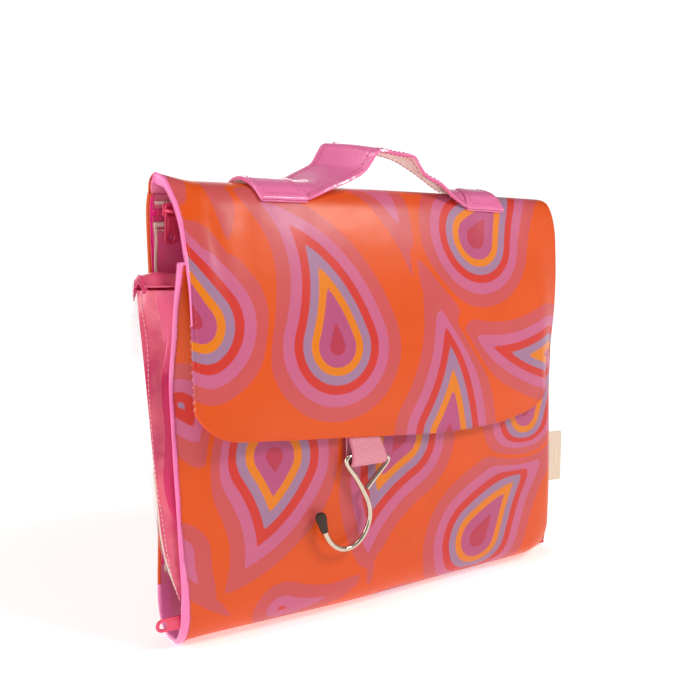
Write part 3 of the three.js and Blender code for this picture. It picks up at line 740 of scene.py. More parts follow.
FRONT_ST = [
    (-1.0, [(-139, 0.0, 0.5), (-139.3, -4.5, 1.2), (-139.6, -9.0, 3.8), (-139.8, -13.6, 10), (-140, -17.2, 20), (-140, -19.0, 31), (-140, -18.2, 44), (-139.8, -15.6, 60), (-139.4, -12.6, 78),
            (-139.2, -9.8, 97), (-138.8, -7.0, 118), (-138.4, -4.6, 133), (-138.0, -4.0, 146), (-137.2, -7.5, 163), (-136.4, -11.6, 183), (-135.4, -14.6, 196), (-134.6, -15.2, 203.6)]),
    (-0.90, [(-126, 0.0, 1.9), (-126, -5.5, 2.6), (-126, -11.0, 5.2), (-126, -16.0, 11), (-126, -20.0, 20), (-126, -22.4, 32), (-126, -22.4, 46), (-126, -21.0, 62), (-126, -19.4, 80),
             (-126, -17.6, 98), (-126, -15.2, 118), (-126, -12.4, 134), (-126, -11.4, 147), (-126, -12.2, 163), (-126, -13.0, 183), (-126, -13.4, 196), (-126, -13.6, 203.4)]),
    (-0.62, [(-87, 0.0, 1.5), (-87, -6.0, 2.2), (-87, -12.4, 5.0), (-87, -18.0, 10.6), (-87, -22.0, 19), (-87, -24.6, 32), (-87, -25.0, 46), (-87, -25.0, 62), (-87, -24.6, 80),
             (-87, -24.0, 98), (-87, -22.8, 118), (-87, -20.6, 134), (-87, -18.6, 147), (-87, -16.0, 163), (-87, -13.6, 183), (-87, -12.4, 196), (-87, -12.0, 203)]),
    (-0.2, [(-28, 0.0, 0.4), (-28, -6.0, 1.1), (-28, -12.6, 3.8), (-28, -18.4, 9.4), (-28, -22.6, 18), (-28, -24.6, 30), (-28, -25.4, 46), (-28, -25.6, 62), (-28, -25.4, 80),
            (-28, -25.0, 98), (-28, -23.6, 118), (-28, -21.6, 134), (-28, -19.4, 147), (-28, -16.4, 163), (-28, -13.8, 183), (-28, -12.4, 196), (-28, -12.0, 203)]),
    (0.25, [(35, 0.0, 0.9), (35, -6.0, 1.6), (35, -12.0, 4.4), (35, -17.4, 10.2), (35, -21.4, 19), (35, -23.6, 32), (35, -24.6, 46), (35, -25.0, 62), (35, -24.8, 80),
            (35, -24.2, 98), (35, -22.8, 118), (35, -20.8, 134), (35, -18.6, 147), (35, -16.0, 163), (35, -13.6, 183), (35, -12.4, 196), (35, -12.0, 203)]),
    (0.75, [(105, 0.4, 1.6), (105, -6.0, 2.4), (105, -12.4, 5.0), (105, -18.0, 10.5), (105, -20.2, 20), (105, -20.4, 32), (105, -20.2, 46), (105, -20.0, 62), (105, -19.6, 80),
            (105, -18.8, 98), (105, -18.4, 118), (105, -17.4, 134), (105, -16.4, 147), (105, -14.8, 163), (105, -13.0, 183), (105, -12.2, 196), (105, -12.0, 203)]),
    (0.875, [(121.5, 1.8, 1.8), (121.5, -2.4, 2.6), (121.5, -8.0, 5.2), (121.5, -13.4, 10.6), (121.5, -17.2, 20), (121.5, -18.0, 32), (121.5, -18.2, 46), (121.5, -18.2, 62), (121.5, -18.0, 80),
             (121.5, -17.8, 98), (121.5, -17.2, 118), (121.5, -16.2, 134), (121.3, -15.2, 147), (121, -13.9, 163), (121, -12.7, 183), (121, -12.0, 196), (121, -11.8, 203)]),
    (1.0, [(138.4, 3.4, 2.4), (138.6, 1.6, 3.4), (138.8, 0.6, 6.0), (138.8, 0.0, 11), (138.8, -0.6, 20), (138.8, -1.0, 32), (138.8, -1.2, 46), (138.8, -1.4, 62), (138.8, -1.8, 80),
           (138.8, -2.2, 98), (138.2, -3.2, 118), (137.4, -4.4, 134), (136.6, -5.6, 147), (135.8, -7.4, 163), (135.2, -9.4, 183), (135.0, -10.4, 196), (135.0, -10.6, 203)]),
]
FLAP_TOP = {
    "l": [(-139.6, 16.0, 241.5), (-139.8, 12.4, 248.2), (-138.8, 6.8, 251.0), (-136.2, 1.8, 247.6), (-134.2, -1.6, 241.4), (-132.9, -4.6, 236), (-131.6, -9.0, 225), (-131.2, -12.0, 213),
          (-131.0, -18.0, 195), (-131.2, -20.6, 175), (-131.8, -23.6, 155), (-132.4, -26.6, 138), (-132.8, -28.6, 122), (-132.8, -29.4, 104)],
    "l2": [(-118, 15.2, 242.3), (-118, 12, 246.1), (-118, 7.6, 247.7), (-118, 2, 246.7), (-118, -4, 243.4), (-118, -9, 236.4), (-118, -13.2, 225.0), (-118, -16.6, 213.0),
           (-118, -21, 195.0), (-118, -24.4, 175.0), (-118, -26.8, 155.0), (-118, -28.6, 138.0), (-118, -29.8, 120.0), (-118, -30.2, 100.0)],
    "m": [(0, 14, 243.1), (0, 10.5, 246.3), (0, 6.5, 247.9), (0, 1, 247.4), (0, -5, 244.9), (0, -10.5, 239.0), (0, -15, 228.0), (0, -19.5, 213.0),
          (0, -23.5, 195.0), (0, -26.5, 175.0), (0, -28.5, 155.0), (0, -29.6, 135.0), (0, -30, 118.0), (0, -30, 92.0)],
    "r2": [(112, 13.7, 243.0), (112, 11, 246.2), (112, 7.4, 247.7), (112, 1, 246.8), (112, -4.6, 244.0), (112, -9.4, 237.0), (112, -13.4, 226.0), (112, -16.2, 213.0),
           (112, -18.6, 195.0), (112, -20, 175.0), (112, -21, 155.0), (112, -22, 138.0), (112, -23, 122.0), (112, -24, 96.0)],
    "r": [(134, 13.6, 242.7), (134, 11.6, 245.9), (134, 8.2, 247.6), (133.8, 2.6, 246.5), (133.6, -3, 243.6), (133.4, -7.4, 237.0), (133.2, -10.8, 226.0), (133, -12.2, 213.0),
          (132.8, -13, 195.0), (132.4, -12.6, 175.0), (131.8, -11.4, 155.0), (131.2, -10.4, 138.0), (130.6, -10.4, 122.0), (130, -11, 96.0)],
}
EDGE = [(-135, 113.5), (-113, 112.3), (-76, 109), (-44, 106.6), (12, 102.6), (43, 102), (72, 103), (94, 106.5), (112, 111), (135, 117)]


def flap_edge_z(x):
    z = np.interp(x, [e[0] for e in EDGE], [e[1] for e in EDGE])
    rl, rr = 25.0, 36.0
    over = np.clip(-x - (134.9 - rl), 0, rl)
    z = z + rl - np.sqrt(np.maximum(rl ** 2 - over ** 2, 0))
    over = np.clip(x - (134.9 - rr), 0, rr)
    return z + rr - np.sqrt(np.maximum(rr ** 2 - over ** 2, 0))


def spread(nx, edge=0.0):
    """column positions from -1 to 1, closer together towards both sides"""
    u = np.linspace(-1, 1, nx)
    return (1 - edge) * u + edge * np.sin(u * math.pi / 2)


# flap: even rows from the seam on the back, over the crest, to a cut edge with rounded corners
def flap_surface(nx, ns, inset=0.0, side=0.0):
    c = spread(nx, 0.72)
    cs = [-1.0, -0.88, 0.0, 0.83, 1.0]
    lines = np.stack([catmull(FLAP_TOP[k], 500) for k in ("l", "l2", "m", "r2", "r")])
    G = hermite(cs, lines, c)
    P = np.zeros((nx, ns, 3))
    S = np.zeros((nx, ns))
    for i, g in enumerate(G):
        x = g[-1, 0] * (1 - side / 135)
        g = g.copy()
        g[:, 0] *= 1 - side / 135
        s = arc(g)
        below = np.nonzero((g[:, 2] < flap_edge_z(x / (1 - side / 135)) + inset) & (g[:, 1] < -5))[0]
        k = below[0] if len(below) else len(g) - 1
        z0, z1 = g[k - 1, 2], g[k, 2]
        f = (z0 - flap_edge_z(x / (1 - side / 135)) - inset) / max(z0 - z1, 1e-6)
        end = s[k - 1] + (s[k] - s[k - 1]) * min(max(f, 0), 1)
        u = np.linspace(0, end, ns)
        P[i] = np.stack([np.interp(u, s, g[:, j]) for j in range(3)], 1)
        S[i] = u
    return P, S


def flap_shape(P, S):
    """soft unevenness of the flap, nothing near the crest and its edges"""
    N = grid_normals(P)
    if N[..., 1].mean() > 0:
        N = -N
    x, q = P[..., 0], 262 - S
    fade = np.clip((S - 22) / 40, 0, 1) * np.clip((S.max(1, keepdims=True) - S) / 12 + 0.35, 0, 1)
    d = bumps(x, q, 0.55, 11, 80) * fade
    # shallow creases falling from the handle's ends and from the upper left corner
    for cx, ang, w, a in ((-96, -0.10, 7, 0.65), (-66, 0.08, 8, 0.7), (60, -0.06, 8, 0.6), (92, 0.05, 7, 0.55), (-124, 0.22, 5, 0.75), (-118, 0.12, 4, 0.55)):
        along = np.clip((S - 26) / 16, 0, 1) * np.exp(-np.clip(S - 30, 0, None) / 45)
        d = d - a * np.exp(-((x - cx - ang * (S - 26)) / w) ** 2) * along
    # the lower edge waves a little
    d = d + 0.7 * np.sin(x / 27.0 + 0.6) * np.exp(-(S.max(1, keepdims=True) - S) / 16)
    return P + N * d[..., None]


made = {}


def declare(o):
    made[o.name] = o
    return o


# ---- flap
FP, FS = flap_surface(220, 124)
FP = flap_shape(FP, FS)
xq = (FP[..., 0], 262 - FS)
uv = np.stack([FP[..., 0] + 200, FS], -1)
flap, FN = shell("flap_sheet", FP, 1.1, [M_PRINT], (0, -1, 0.2), attrs=print_attrs(xq, FLAP_DROPS), uv=uv)
declare(flap)
LP, LS = flap_surface(110, 80, inset=1.1, side=0.9)
LP = flap_shape(LP, LS)
LN = grid_normals(LP)
LN = LN if LN[..., 1].mean() < 0 else -LN
LP2 = LP - LN * 1.45
flap_lining, _ = shell("flap_lining_sheet", LP2, 0.8, [M_LINING], (0, -1, 0.2), uv=np.stack([LP[..., 0] + 200, LS], -1))
declare(flap_lining)


# ---- back panel
def body_surface(stations, nx, ns, drops, name, out, qfun, seed, t=1.2, amp=0.35):
    P = loft(stations, nx, ns, c=spread(nx, 0.3))
    s = np.stack([arc(p) for p in P])
    N = grid_normals(P)
    if (N.reshape(-1, 3) @ np.array(out, float)).mean() < 0:
        N = -N
    q = qfun(s)
    x = P[..., 0]
    return P, N, s, q, x


def smooth01(a):
    a = np.clip(a, 0, 1)
    return a * a * (3 - 2 * a)


BP, BN, BS, BQ, BX = body_surface(BACK_ST, 176, 172, BACK_DROPS, "back", (0, 1, -0.1), lambda s: s.max(1, keepdims=True) - 20 - s, 3)
fade = smooth01((BQ - 20) / 30) * smooth01((236 - BQ) / 24)
BP = BP + BN * (bumps(BX, BQ, 0.5, 5, 100) * fade)[..., None]
back, BN = shell("back_sheet", BP, 1.2, [M_PRINT], (0, 1, -0.1), attrs=print_attrs((BX, BQ), BACK_DROPS), uv=np.stack([BX + 200, BS], -1))
declare(back)
BN_ = BN


def inner_sheet(P, N, depth, t, name, out, mats, trim=(1.0, 1.0, 0, 0), step=2, uvs=True, mat_kw=None):
    """a sheet parallel to P at that depth, trimmed at the sides (mm) and by rows at its ends"""
    Q = (P - N * depth)[:, trim[2]:P.shape[1] - trim[3]]
    Q = np.concatenate([Q[:1], Q[1:-1:step], Q[-1:]])
    Q = np.concatenate([Q[:, :1], Q[:, 1:-1:step], Q[:, -1:]], 1)
    x = Q[..., 0]
    mid = Q[len(Q) // 2, :, 0]
    k = np.where(x < 0, (np.abs(x).max() - trim[0]) / np.abs(x).max(), (np.abs(x).max() - trim[1]) / np.abs(x).max())
    Q[..., 0] = x * k
    s = np.stack([arc(p) for p in Q])
    o, n = shell(name, Q, t, mats, out, uv=np.stack([Q[..., 0] + 200, s], -1), **(mat_kw(Q) if mat_kw else {}))
    declare(o)
    return o, Q, n


# above 40 mm the lining behind the upper pocket's window takes the deeper copy: painted shade
back_lining, BLQ, BLN = inner_sheet(BP, BN_, 1.55, 0.8, "back_lining_sheet", (0, 1, -0.1), [M_LINING, M_LINING_PAINTED_SHADE], (0.8, 0.8, 1, 0),
                                    mat_kw=lambda Q: {"col_mats": (Q[:-1, :-1, 2] > 40).astype(int), "back_mat": "same"})

# ---- front panel
PP, PN, PS, PQ, PX = body_surface(FRONT_ST, 184, 150, FRONT_DROPS, "front", (0, -1, -0.1), lambda s: s - 20, 4)
fade = smooth01((PQ - 4) / 22) * smooth01((204 - PQ) / 20)
dd = bumps(PX, PQ, 0.38, 21, 90)
# soft hollows and swells near the bottom, as the fold under the bag gathers the cloth
for cx, cq, wx, wq, a in ((-70, 16, 26, 9, -1.1), (-36, 22, 18, 10, 0.9), (-112, 30, 9, 26, 0.7), (8, 18, 22, 9, -0.7), (60, 26, 30, 12, 0.6), (-96, 12, 16, 8, 0.6)):
    dd = dd + a * np.exp(-((PX - cx) / wx) ** 2 - ((PQ - cq) / wq) ** 2)
PP = PP + PN * (dd * fade)[..., None]
front, PN = shell("front_sheet", PP, 1.2, [M_PRINT], (0, -1, -0.1), attrs=print_attrs((PX, PQ), FRONT_DROPS), uv=np.stack([PX + 200, PS], -1))
declare(front)
front_lining, PLQ, PLN = inner_sheet(PP, PN, 1.55, 0.8, "front_lining_sheet", (0, -1, -0.1), [M_LINING], (0.8, 0.8, 0, 1))


# ---- hems: folded lining bands round the cut edges
def hem(name, E, inward, N, face, depth, back, mats, lap=0.35, mat_rows=None, attrs=None, uv=None):
    """E: (n, 3) edge line; inward: unit vectors into the sheet; N: outward normals; face and back: how far the band laps (mm) over each side; depth: thickness it wraps."""
    n = len(E)
    prof = []
    face_, back_, depth_ = (np.broadcast_to(np.asarray(v, float), (n,)) for v in (face, back, depth))
    K = 13
    rows = np.zeros((n, K, 3))
    for j in range(K):
        if j < 4:
            u = 1 - j / 4
            pos = E + inward * (face_ * u)[:, None] + N * lap * (1 - 0.35 * (u > 0.9))
        elif j < 9:
            a = math.pi * (j - 4) / 4
            pos = E - inward * (np.sin(a) ** 0.6 * (0.45 + 0.10 * depth_))[:, None] + N * (lap - (1 - math.cos(a)) / 2 * (depth_ + 2 * lap))[:, None]
        else:
            u = (j - 8) / 4
            pos = E + inward * (back_ * u)[:, None] - N * (depth_ + lap)[:, None]
        rows[:, j] = pos
    o, _ = shell(name, rows, 0.32, mats, lambda P: unit(P - P.mean(1, keepdims=True)), rim=0.2, attrs=attrs, uv=uv)
    return o, rows


def edge_frame(P, N, side):
    i = 0 if side < 0 else -1
    j = 1 if side < 0 else -2
    E = P[i]
    inward = P[j] - P[i]
    n = N[i]
    inward = unit(inward - n * (inward * n).sum(-1, keepdims=True))
    return E, inward, n


def wavy(n, amp, seed, k=0.5):
    r = np.random.RandomState(seed)
    t = np.linspace(0, n * k, n)
    return amp * (np.sin(t * 0.31 + r.uniform(0, 6)) + 0.7 * np.sin(t * 0.83 + r.uniform(0, 6)) + 0.4 * np.sin(t * 1.9 + r.uniform(0, 6)))


hems = []
for side, tag in ((-1, "left"), (1, "right")):
    E, inw, n = edge_frame(PP, PN, side)
    w = 1.7 + wavy(len(E), 0.16, 3 + side) + 2.2 * np.exp(-((PS[0] - 24) / 26) ** 2)
    if side < 0:
        o, rows = hem(f"front_hem_{tag}", E, inw, n, w, 2.1, 1.5 + 3.5 * np.exp(-((PS[0] - 20) / 60) ** 2), [M_HEM])
    else:
        w = np.full(len(E), 0.3)
        lv_e = level_of(np.stack([PX[-1], PQ[-1]], 1), FRONT_DROPS)
        o, rows = hem(f"front_hem_{tag}", E, inw, n, w, 2.1, 5.0, [M_PRINT], 0.16, attrs={"drop_level": np.repeat(lv_e[:, None], 13, 1)},
                      uv=np.stack([np.repeat(PS[-1][:, None], 13, 1), np.tile(np.linspace(0, 12, 13), (len(E), 1))], -1))
    declare(o)
    hems.append(("front", o))
    line = E + inw * (w + 0.25)[:, None]
    zz_a, zz_b, zz_n = stitch_line(line + n * 0.1, n, 2.0, 1.6)
    # zig-zag over the band's border
    inw_at = np.stack([np.interp(np.linspace(0, len(E) - 1, len(zz_a)), np.arange(len(E)), inw[:, j]) for j in range(3)], 1)
    k = (np.arange(len(zz_a)) % 2) * 2 - 1
    zz_a = zz_a - inw_at * (k * 0.45)[:, None]
    zz_b = zz_b + inw_at * (k * 0.45)[:, None]
    o = capsules(f"front_zigzag_{tag}", zz_a, zz_b, 0.23, M_THREAD_ROSE, zz_n, 0.2)
    declare(o)
    hems.append(("front", o))
    E, inw, n = edge_frame(BP, BN, side)
    bi = 0 if side < 0 else -1
    lv_e = level_of(np.stack([BX[bi], BQ[bi]], 1), BACK_DROPS)
    cut = int(np.nonzero(BP[bi][:, 2] > 26)[0].max())
    up, lowp = slice(0, cut + 1), slice(cut, None)
    o, rows = hem(f"back_hem_low_{tag}", E[lowp], inw[lowp], n[lowp], 0.6, 2.1, 6.0, [M_HEM])
    declare(o)
    hems.append(("back", o))
    E, inw, n, lv_e = E[up], inw[up], n[up], lv_e[up]
    o, rows = hem(f"back_hem_{tag}", E, inw, n, 0.3, 2.1, 3.0, [M_PRINT], 0.16, attrs={"drop_level": np.repeat(lv_e[:, None], 13, 1)},
                  uv=np.stack([np.repeat(BS[bi][up][:, None], 13, 1), np.tile(np.linspace(0, 12, 13), (len(E), 1))], -1))
    declare(o)
    hems.append(("back", o))

# top edge of the front panel
E = PP[:, -1]
inw = unit(PP[:, -2] - PP[:, -1])
n = PN[:, -1]
o, rows = hem("front_hem_top", E, inw, n, 0.8, 2.1, 3.4, [M_HEM])
declare(o)
hems.append(("front", o))
o = stitches("front_top_stitches", [stitch_line(E + inw * 3.0 + n * 0.05, n, 3.0, 2.1)], 0.24, M_THREAD_ROSE)
declare(o)
hems.append(("front", o))


# flap hems: pink band on the upper left edge, print turned in lower down, a narrow turned edge all round
def perimeter(P, N, S):
    """the flap's cut edge, from the upper left down round to the upper right"""
    nx, ns = P.shape[:2]
    start = 12
    pts = [P[0, start:-1], P[:, -1], P[-1, start:-1][::-1]]
    nrm = [N[0, start:-1], N[:, -1], N[-1, start:-1][::-1]]
    inn = [P[1, start:-1] - P[0, start:-1], P[:, -2] - P[:, -1], (P[-2, start:-1] - P[-1, start:-1])[::-1]]
    cloth = [np.stack([P[0, start:-1, 0], 262 - S[0, start:-1]], 1), np.stack([P[:, -1, 0], 262 - S[:, -1]], 1), np.stack([P[-1, start:-1, 0], 262 - S[-1, start:-1]], 1)[::-1]]
    E, n, c = np.concatenate(pts), np.concatenate(nrm), np.concatenate(cloth)
    u = np.linspace(0, 1, 420)
    s = arc(E) / arc(E)[-1]
    keep = np.concatenate([[True], np.diff(s) > 1e-6])
    f = lambda A: np.stack([np.interp(u, s[keep], A[keep][:, j]) for j in range(A.shape[1])], 1)
    E, n, c = f(E), unit(f(n)), f(c)
    tang = unit(np.gradient(E, axis=0))
    for _ in range(3):
        tang[1:-1] = unit(tang[:-2] + tang[1:-1] * 2 + tang[2:])
    inw = unit(np.cross(n, tang))
    mid = E.mean(0)
    if ((mid - E) * inw).sum() < 0:
        inw = -inw
    return E, inw, n, c


FE, FI, FNn, FC = perimeter(FP, FN, FS)
sE = arc(FE)
zE = FE[:, 2]
left = (FE[:, 0] < -100)
# depth of the turned edge: wide at the upper left, thin elsewhere
depth = 1.7 + np.where(left, 3.9 * smooth01((zE - 186) / 36) + 1.6 * np.exp(-((zE - 150) / 24) ** 2), 0)
for _ in range(12):
    depth[1:-1] = (depth[:-2] + depth[1:-1] + depth[2:]) / 3
pinkpart = left & (zE > 172)
n_split = int(np.nonzero(pinkpart)[0].max()) + 1
lv = level_of(FC, FLAP_DROPS)
o, _ = hem("flap_hem_upper_left", FE[:n_split + 1], FI[:n_split + 1], FNn[:n_split + 1], 0.3 + 1.0 * smooth01((zE[:n_split + 1] - 178) / 45), depth[:n_split + 1], 3.5, [M_HEM], 0.3)
declare(o)
fl = [o]
sl = slice(n_split, None)
K = 13
att = {"drop_level": np.repeat(lv[sl][:, None], K, 1)}
uvh = np.stack([np.repeat(sE[sl][:, None], K, 1), np.tile(np.linspace(0, 12, K), (len(FE[sl]), 1))], -1)
o, _ = hem("flap_hem_edge", FE[sl], FI[sl], FNn[sl], 0.25, depth[sl], 4.0, [M_PRINT], 0.16, attrs=att, uv=uvh)
declare(o)
fl.append(o)
# a row of stitches just inside the edge
sel = slice(8, int(np.nonzero(left & (zE > 122))[0].max()))
o = stitches("flap_edge_stitches", [stitch_line(FE[sel] + FI[sel] * 2.2 + FNn[sel] * 0.05, FNn[sel], 3.2, 2.2)], 0.12, thread_material("thread_orange", lin(228, 96, 62)), 0.55)
declare(o)
fl.append(o)
# pale tacking stitches across the turned edge near the lower left corner
idx = [i for i in range(len(FE)) if left[i] and 128 < zE[i] < 172][::3]
a, b, g = [], [], []
for k, i in enumerate(idx):
    out = -FI[i]
    m = FE[i] - FNn[i] * depth[i] * 0.5 - FI[i] * (0.62 + 0.10 * depth[i])
    tilt = RNG.uniform(-0.9, 0.9)
    a.append(m + FNn[i] * depth[i] * 0.46 + np.array([0, 0, tilt]))
    b.append(m - FNn[i] * depth[i] * 0.46 - np.array([0, 0, tilt]))
    g.append(out)
o = capsules("flap_tacks_left", a, b, 0.17, M_THREAD_PALE, np.array(g), 0.9, 0.05)
declare(o)
fl.append(o)


# ------------------------------------------------------------------ upper pocket on the back panel
def strip(Q, N, s, s0, s1, lift, x0, x1, nx, ns, wave=None):
    """a sheet over the surface Q (nx, n, 3), lifted inwards, between arc lengths s0 and s1 measured from the seam end"""
    X = np.linspace(x0, x1, nx)
    S = np.linspace(s0, s1, ns)
    out = np.zeros((nx, ns, 3))
    cols = Q[:, Q.shape[1] // 2, 0]
    for i, x in enumerate(X):
        f = np.interp(x, cols, np.arange(len(cols)))
        k = min(int(f), len(cols) - 2)
        u = f - k
        line = Q[k] * (1 - u) + Q[k + 1] * u
        nn = unit(N[k] * (1 - u) + N[k + 1] * u)
        a = arc(line)
        p = np.stack([np.interp(S, a, line[:, j]) for j in range(3)], 1)
        m = unit(np.stack([np.interp(S, a, nn[:, j]) for j in range(3)], 1))
        L = lift if wave is None else lift + wave(x, S)[:, None]
        out[i] = p - m * L
        out[i, :, 0] = x
    return out


def sheet_piece(name, P, t, mats, out, slot, **kw):
    s = np.stack([arc(p) for p in P])
    o, n = shell(name, P, t, mats, out, uv=np.stack([P[..., 0] + 200, s], -1), **kw)
    declare(o)
    return o, n


# the back panel's inner surface: depth 2.35 below its outer face
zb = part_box("upper_zip_coil")
Z_ZIP = (zb[0].z + zb[1].z) / 2 / MM
s_zip = float(np.interp(-Z_ZIP, -BP[88, :, 2], BS[88]))
INB = (0, 1, 0)
tape_hi, _ = sheet_piece("upper_tape_high", strip(BP, BN, BS, max(s_zip - 10.6, 0.4), s_zip - 1.5, 2.75, -138, 137, 90, 8), 0.6, [M_TAPE], INB, "zip_tape")
tape_lo, _ = sheet_piece("upper_tape_low", strip(BP, BN, BS, s_zip + 1.5, s_zip + 10.6, 2.75, -138, 137, 90, 8), 0.6, [M_TAPE], INB, "zip_tape")


def coil(name, center, across, normal, x0, x1, width=2.8, pitch=1.3):
    """two rows of interlocking loops, as one mesh. center(x) -> point, across, normal: unit vectors"""
    xs = np.arange(x0, x1, pitch / 2)
    starts, ends, nn = [], [], []
    for i, x in enumerate(xs):
        c = center(x)
        sgn = 1 if i % 2 else -1
        starts.append(c + across * sgn * width / 2)
        ends.append(c - across * sgn * width * 0.12)
        nn.append(normal)
    return capsules(name, starts, ends, 0.52, M_COIL, nn, sink=0.3, arch=0.35)


def surf_at(P, N, x, s):
    cols = P[:, P.shape[1] // 2, 0]
    f = float(np.interp(x, cols, np.arange(len(cols))))
    k = min(int(f), len(cols) - 2)
    u = f - k
    line = P[k] * (1 - u) + P[k + 1] * u
    nn = unit(N[k] * (1 - u) + N[k + 1] * u)
    a = arc(line)
    p = np.array([np.interp(s, a, line[:, j]) for j in range(3)])
    m = unit(np.array([np.interp(s, a, nn[:, j]) for j in range(3)]))
    p[0] = x
    return p, m


c0, m0 = surf_at(BP, BN, 0, s_zip)
inward = -m0
acr = unit(np.cross(inward, np.array([1.0, 0, 0])))
coil_u = coil("upper_coil_teeth", lambda x: (lambda pm: pm[0] - pm[1] * 3.6)(surf_at(BP, BN, x, s_zip)), acr, inward, -135.5, 135.5)
declare(coil_u)
# clear strip above the zip, and the clear window below it, with soft waves near its left edge
strip_u, _ = sheet_piece("upper_clear_strip", strip(BP, BN, BS, 0.6, s_zip - 3.2, 3.6, -137, 137, 120, 8,
                                                   lambda x, S: 0.25 * np.sin(x / 9.0) * np.ones_like(S)), 0.6, [M_CLEAR], INB, "clear_pvc")


def window_wave(x, S):
    u = np.clip((x + 138) / 30, 0, 1)
    rel = (S - s_zip) / 200
    w = 1.0 * np.sin(S / 11.0 + x / 21.0) * np.exp(-((x + 138) / 26.0) ** 2)
    w = w + 0.5 * np.sin(S / 23.0 + x / 37.0 + 1.0) + 0.35 * np.sin(x / 17.0)
    return np.clip(0.9 + w, 0.0, 2.6) * smooth01((rel - 0.08) / 0.12) * np.sin(np.clip(rel, 0, 1) * math.pi) ** 0.5


s_end = float(np.interp(-36.0, -BP[88, :, 2], BS[88]))
window_u, _ = sheet_piece("upper_clear_window", strip(BP, BN, BS, s_zip + 4.6, s_end, 3.6, -138, 137, 150, 120, window_wave), 0.6, [M_CLEAR], INB, "clear_pvc")
# pale turned edges of the window, the band down its left side partly a painted highlight standing for the glint along
# it, and its seam at the bottom
back_extra = [tape_hi, tape_lo, coil_u, strip_u, window_u]


def line_on(P, N, x, s0, s1, lift, n=120):
    pts = [surf_at(P, N, x, s) for s in np.linspace(s0, s1, n)]
    return np.array([p - m * lift for p, m in pts]), np.array([-m for p, m in pts])


def hline_on(P, N, s, x0, x1, lift, n=160, wob=0.0):
    pts = [surf_at(P, N, x, s + wob * math.sin(x / 6.0)) for x in np.linspace(x0, x1, n)]
    return np.array([p - m * lift for p, m in pts]), np.array([-m for p, m in pts])


def binding(name, line, nrm, width, t, mat):
    """a flat narrow band along a line"""
    tang = unit(np.gradient(line, axis=0))
    side = unit(np.cross(nrm, tang))
    K = 5
    P = np.stack([line + side * width * (j / (K - 1) - 0.5) + nrm * (0.18 * math.sin(math.pi * j / (K - 1))) for j in range(K)], 1)
    o, _ = shell(name, P, t, [mat], lambda Q: np.broadcast_to(nrm[:, None, :], Q.shape))
    declare(o)
    return o


ln, nn = line_on(BP, BN, -137.2, s_zip + 5.5, s_end - 1, 4.2)
ln = ln + np.stack([0.5 * np.sin(np.linspace(0, 40, len(ln))), 0 * ln[:, 0], 0 * ln[:, 0]], 1)
back_extra.append(binding("upper_window_edge_painted_glint", ln, nn, 1.5, 0.5, M_CLEAR_EDGE_AND_GLINT))
ln, nn = hline_on(BP, BN, s_zip - 6.3, -137, 137, 4.4)
back_extra.append(binding("upper_strip_edge", ln, nn, 1.6, 0.5, M_CLEAR_EDGE_AND_GLINT))
ln, nn = hline_on(BP, BN, s_zip + 6.0, -137.6, 137, 4.5, wob=0.2)
back_extra.append(binding("upper_window_top_edge", ln, nn, 2.2, 0.5, M_CLEAR_EDGE_AND_GLINT))
seg = [stitch_line(*hline_on(BP, BN, s_zip + 6.0, -137, 136.5, 4.75), 2.6, 1.9),
       stitch_line(*hline_on(BP, BN, s_zip + 9.4, -137, 136.5, 4.5), 2.6, 1.9),
       stitch_line(*hline_on(BP, BN, s_zip - 6.3, -137, 136.5, 4.7), 2.6, 1.9),
       stitch_line(*hline_on(BP, BN, s_end - 2.0, -137, 136.5, 4.3), 2.6, 1.9)]
o = stitches("upper_pocket_stitches", seg, 0.22, M_THREAD_PALE)
declare(o)
back_extra.append(o)
ln, nn = hline_on(BP, BN, s_end - 2.0, -137.6, 137, 3.9, wob=0.2)
back_extra.append(binding("upper_window_bottom_edge", ln, nn, 4.0, 0.5, M_CLEAR_EDGE_AND_GLINT))


# ------------------------------------------------------------------ zip pulls
def curve_plate(name, outer, holes, t, bevel, mat, frame4, rings=True):
    """a flat plate with rounded edges, from outlines in its own plane (mm)"""
    cu = bpy.data.curves.new(name, "CURVE")
    cu.dimensions, cu.fill_mode = "2D", "BOTH"
    cu.extrude, cu.bevel_depth, cu.bevel_resolution = (t / 2 - bevel) * MM, bevel * MM, 3
    for loop in [outer] + holes:
        sp = cu.splines.new("POLY")
        sp.points.add(len(loop) - 1)
        for p, (x, y) in zip(sp.points, loop):
            p.co = (x * MM, y * MM, 0, 1)
        sp.use_cyclic_u = True
    o = bpy.data.objects.new(name + "_c", cu)
    scene.collection.objects.link(o)
    dg = bpy.context.evaluated_depsgraph_get()
    me = bpy.data.meshes.new_from_object(o.evaluated_get(dg))
    bpy.data.objects.remove(o)
    me.name = name
    me.transform(frame4)
    me.materials.clear()
    me.materials.append(mat)
    me.polygons.foreach_set("use_smooth", np.ones(len(me.polygons), bool))
    me.set_sharp_from_angle(angle=math.radians(40))
    ob = bpy.data.objects.new(name, me)
    scene.collection.objects.link(ob)
    declare(ob)
    return ob


def rounded(x0, x1, hw0, hw1, r0, r1, n=10):
    """outline along +x from x0 to x1, half widths hw0 and hw1, corner radii"""
    pts = []
    for cx, cy, r, a0 in ((x1 - r1, hw1 - r1, r1, 0), (x0 + r0, hw0 - r0, r0, 90), (x0 + r0, -hw0 + r0, r0, 180), (x1 - r1, -hw1 + r1, r1, 270)):
        for k in range(n + 1):
            a = math.radians(a0 + 90 * k / n)
            pts.append((cx + r * math.cos(a), cy + r * math.sin(a)))
    return pts


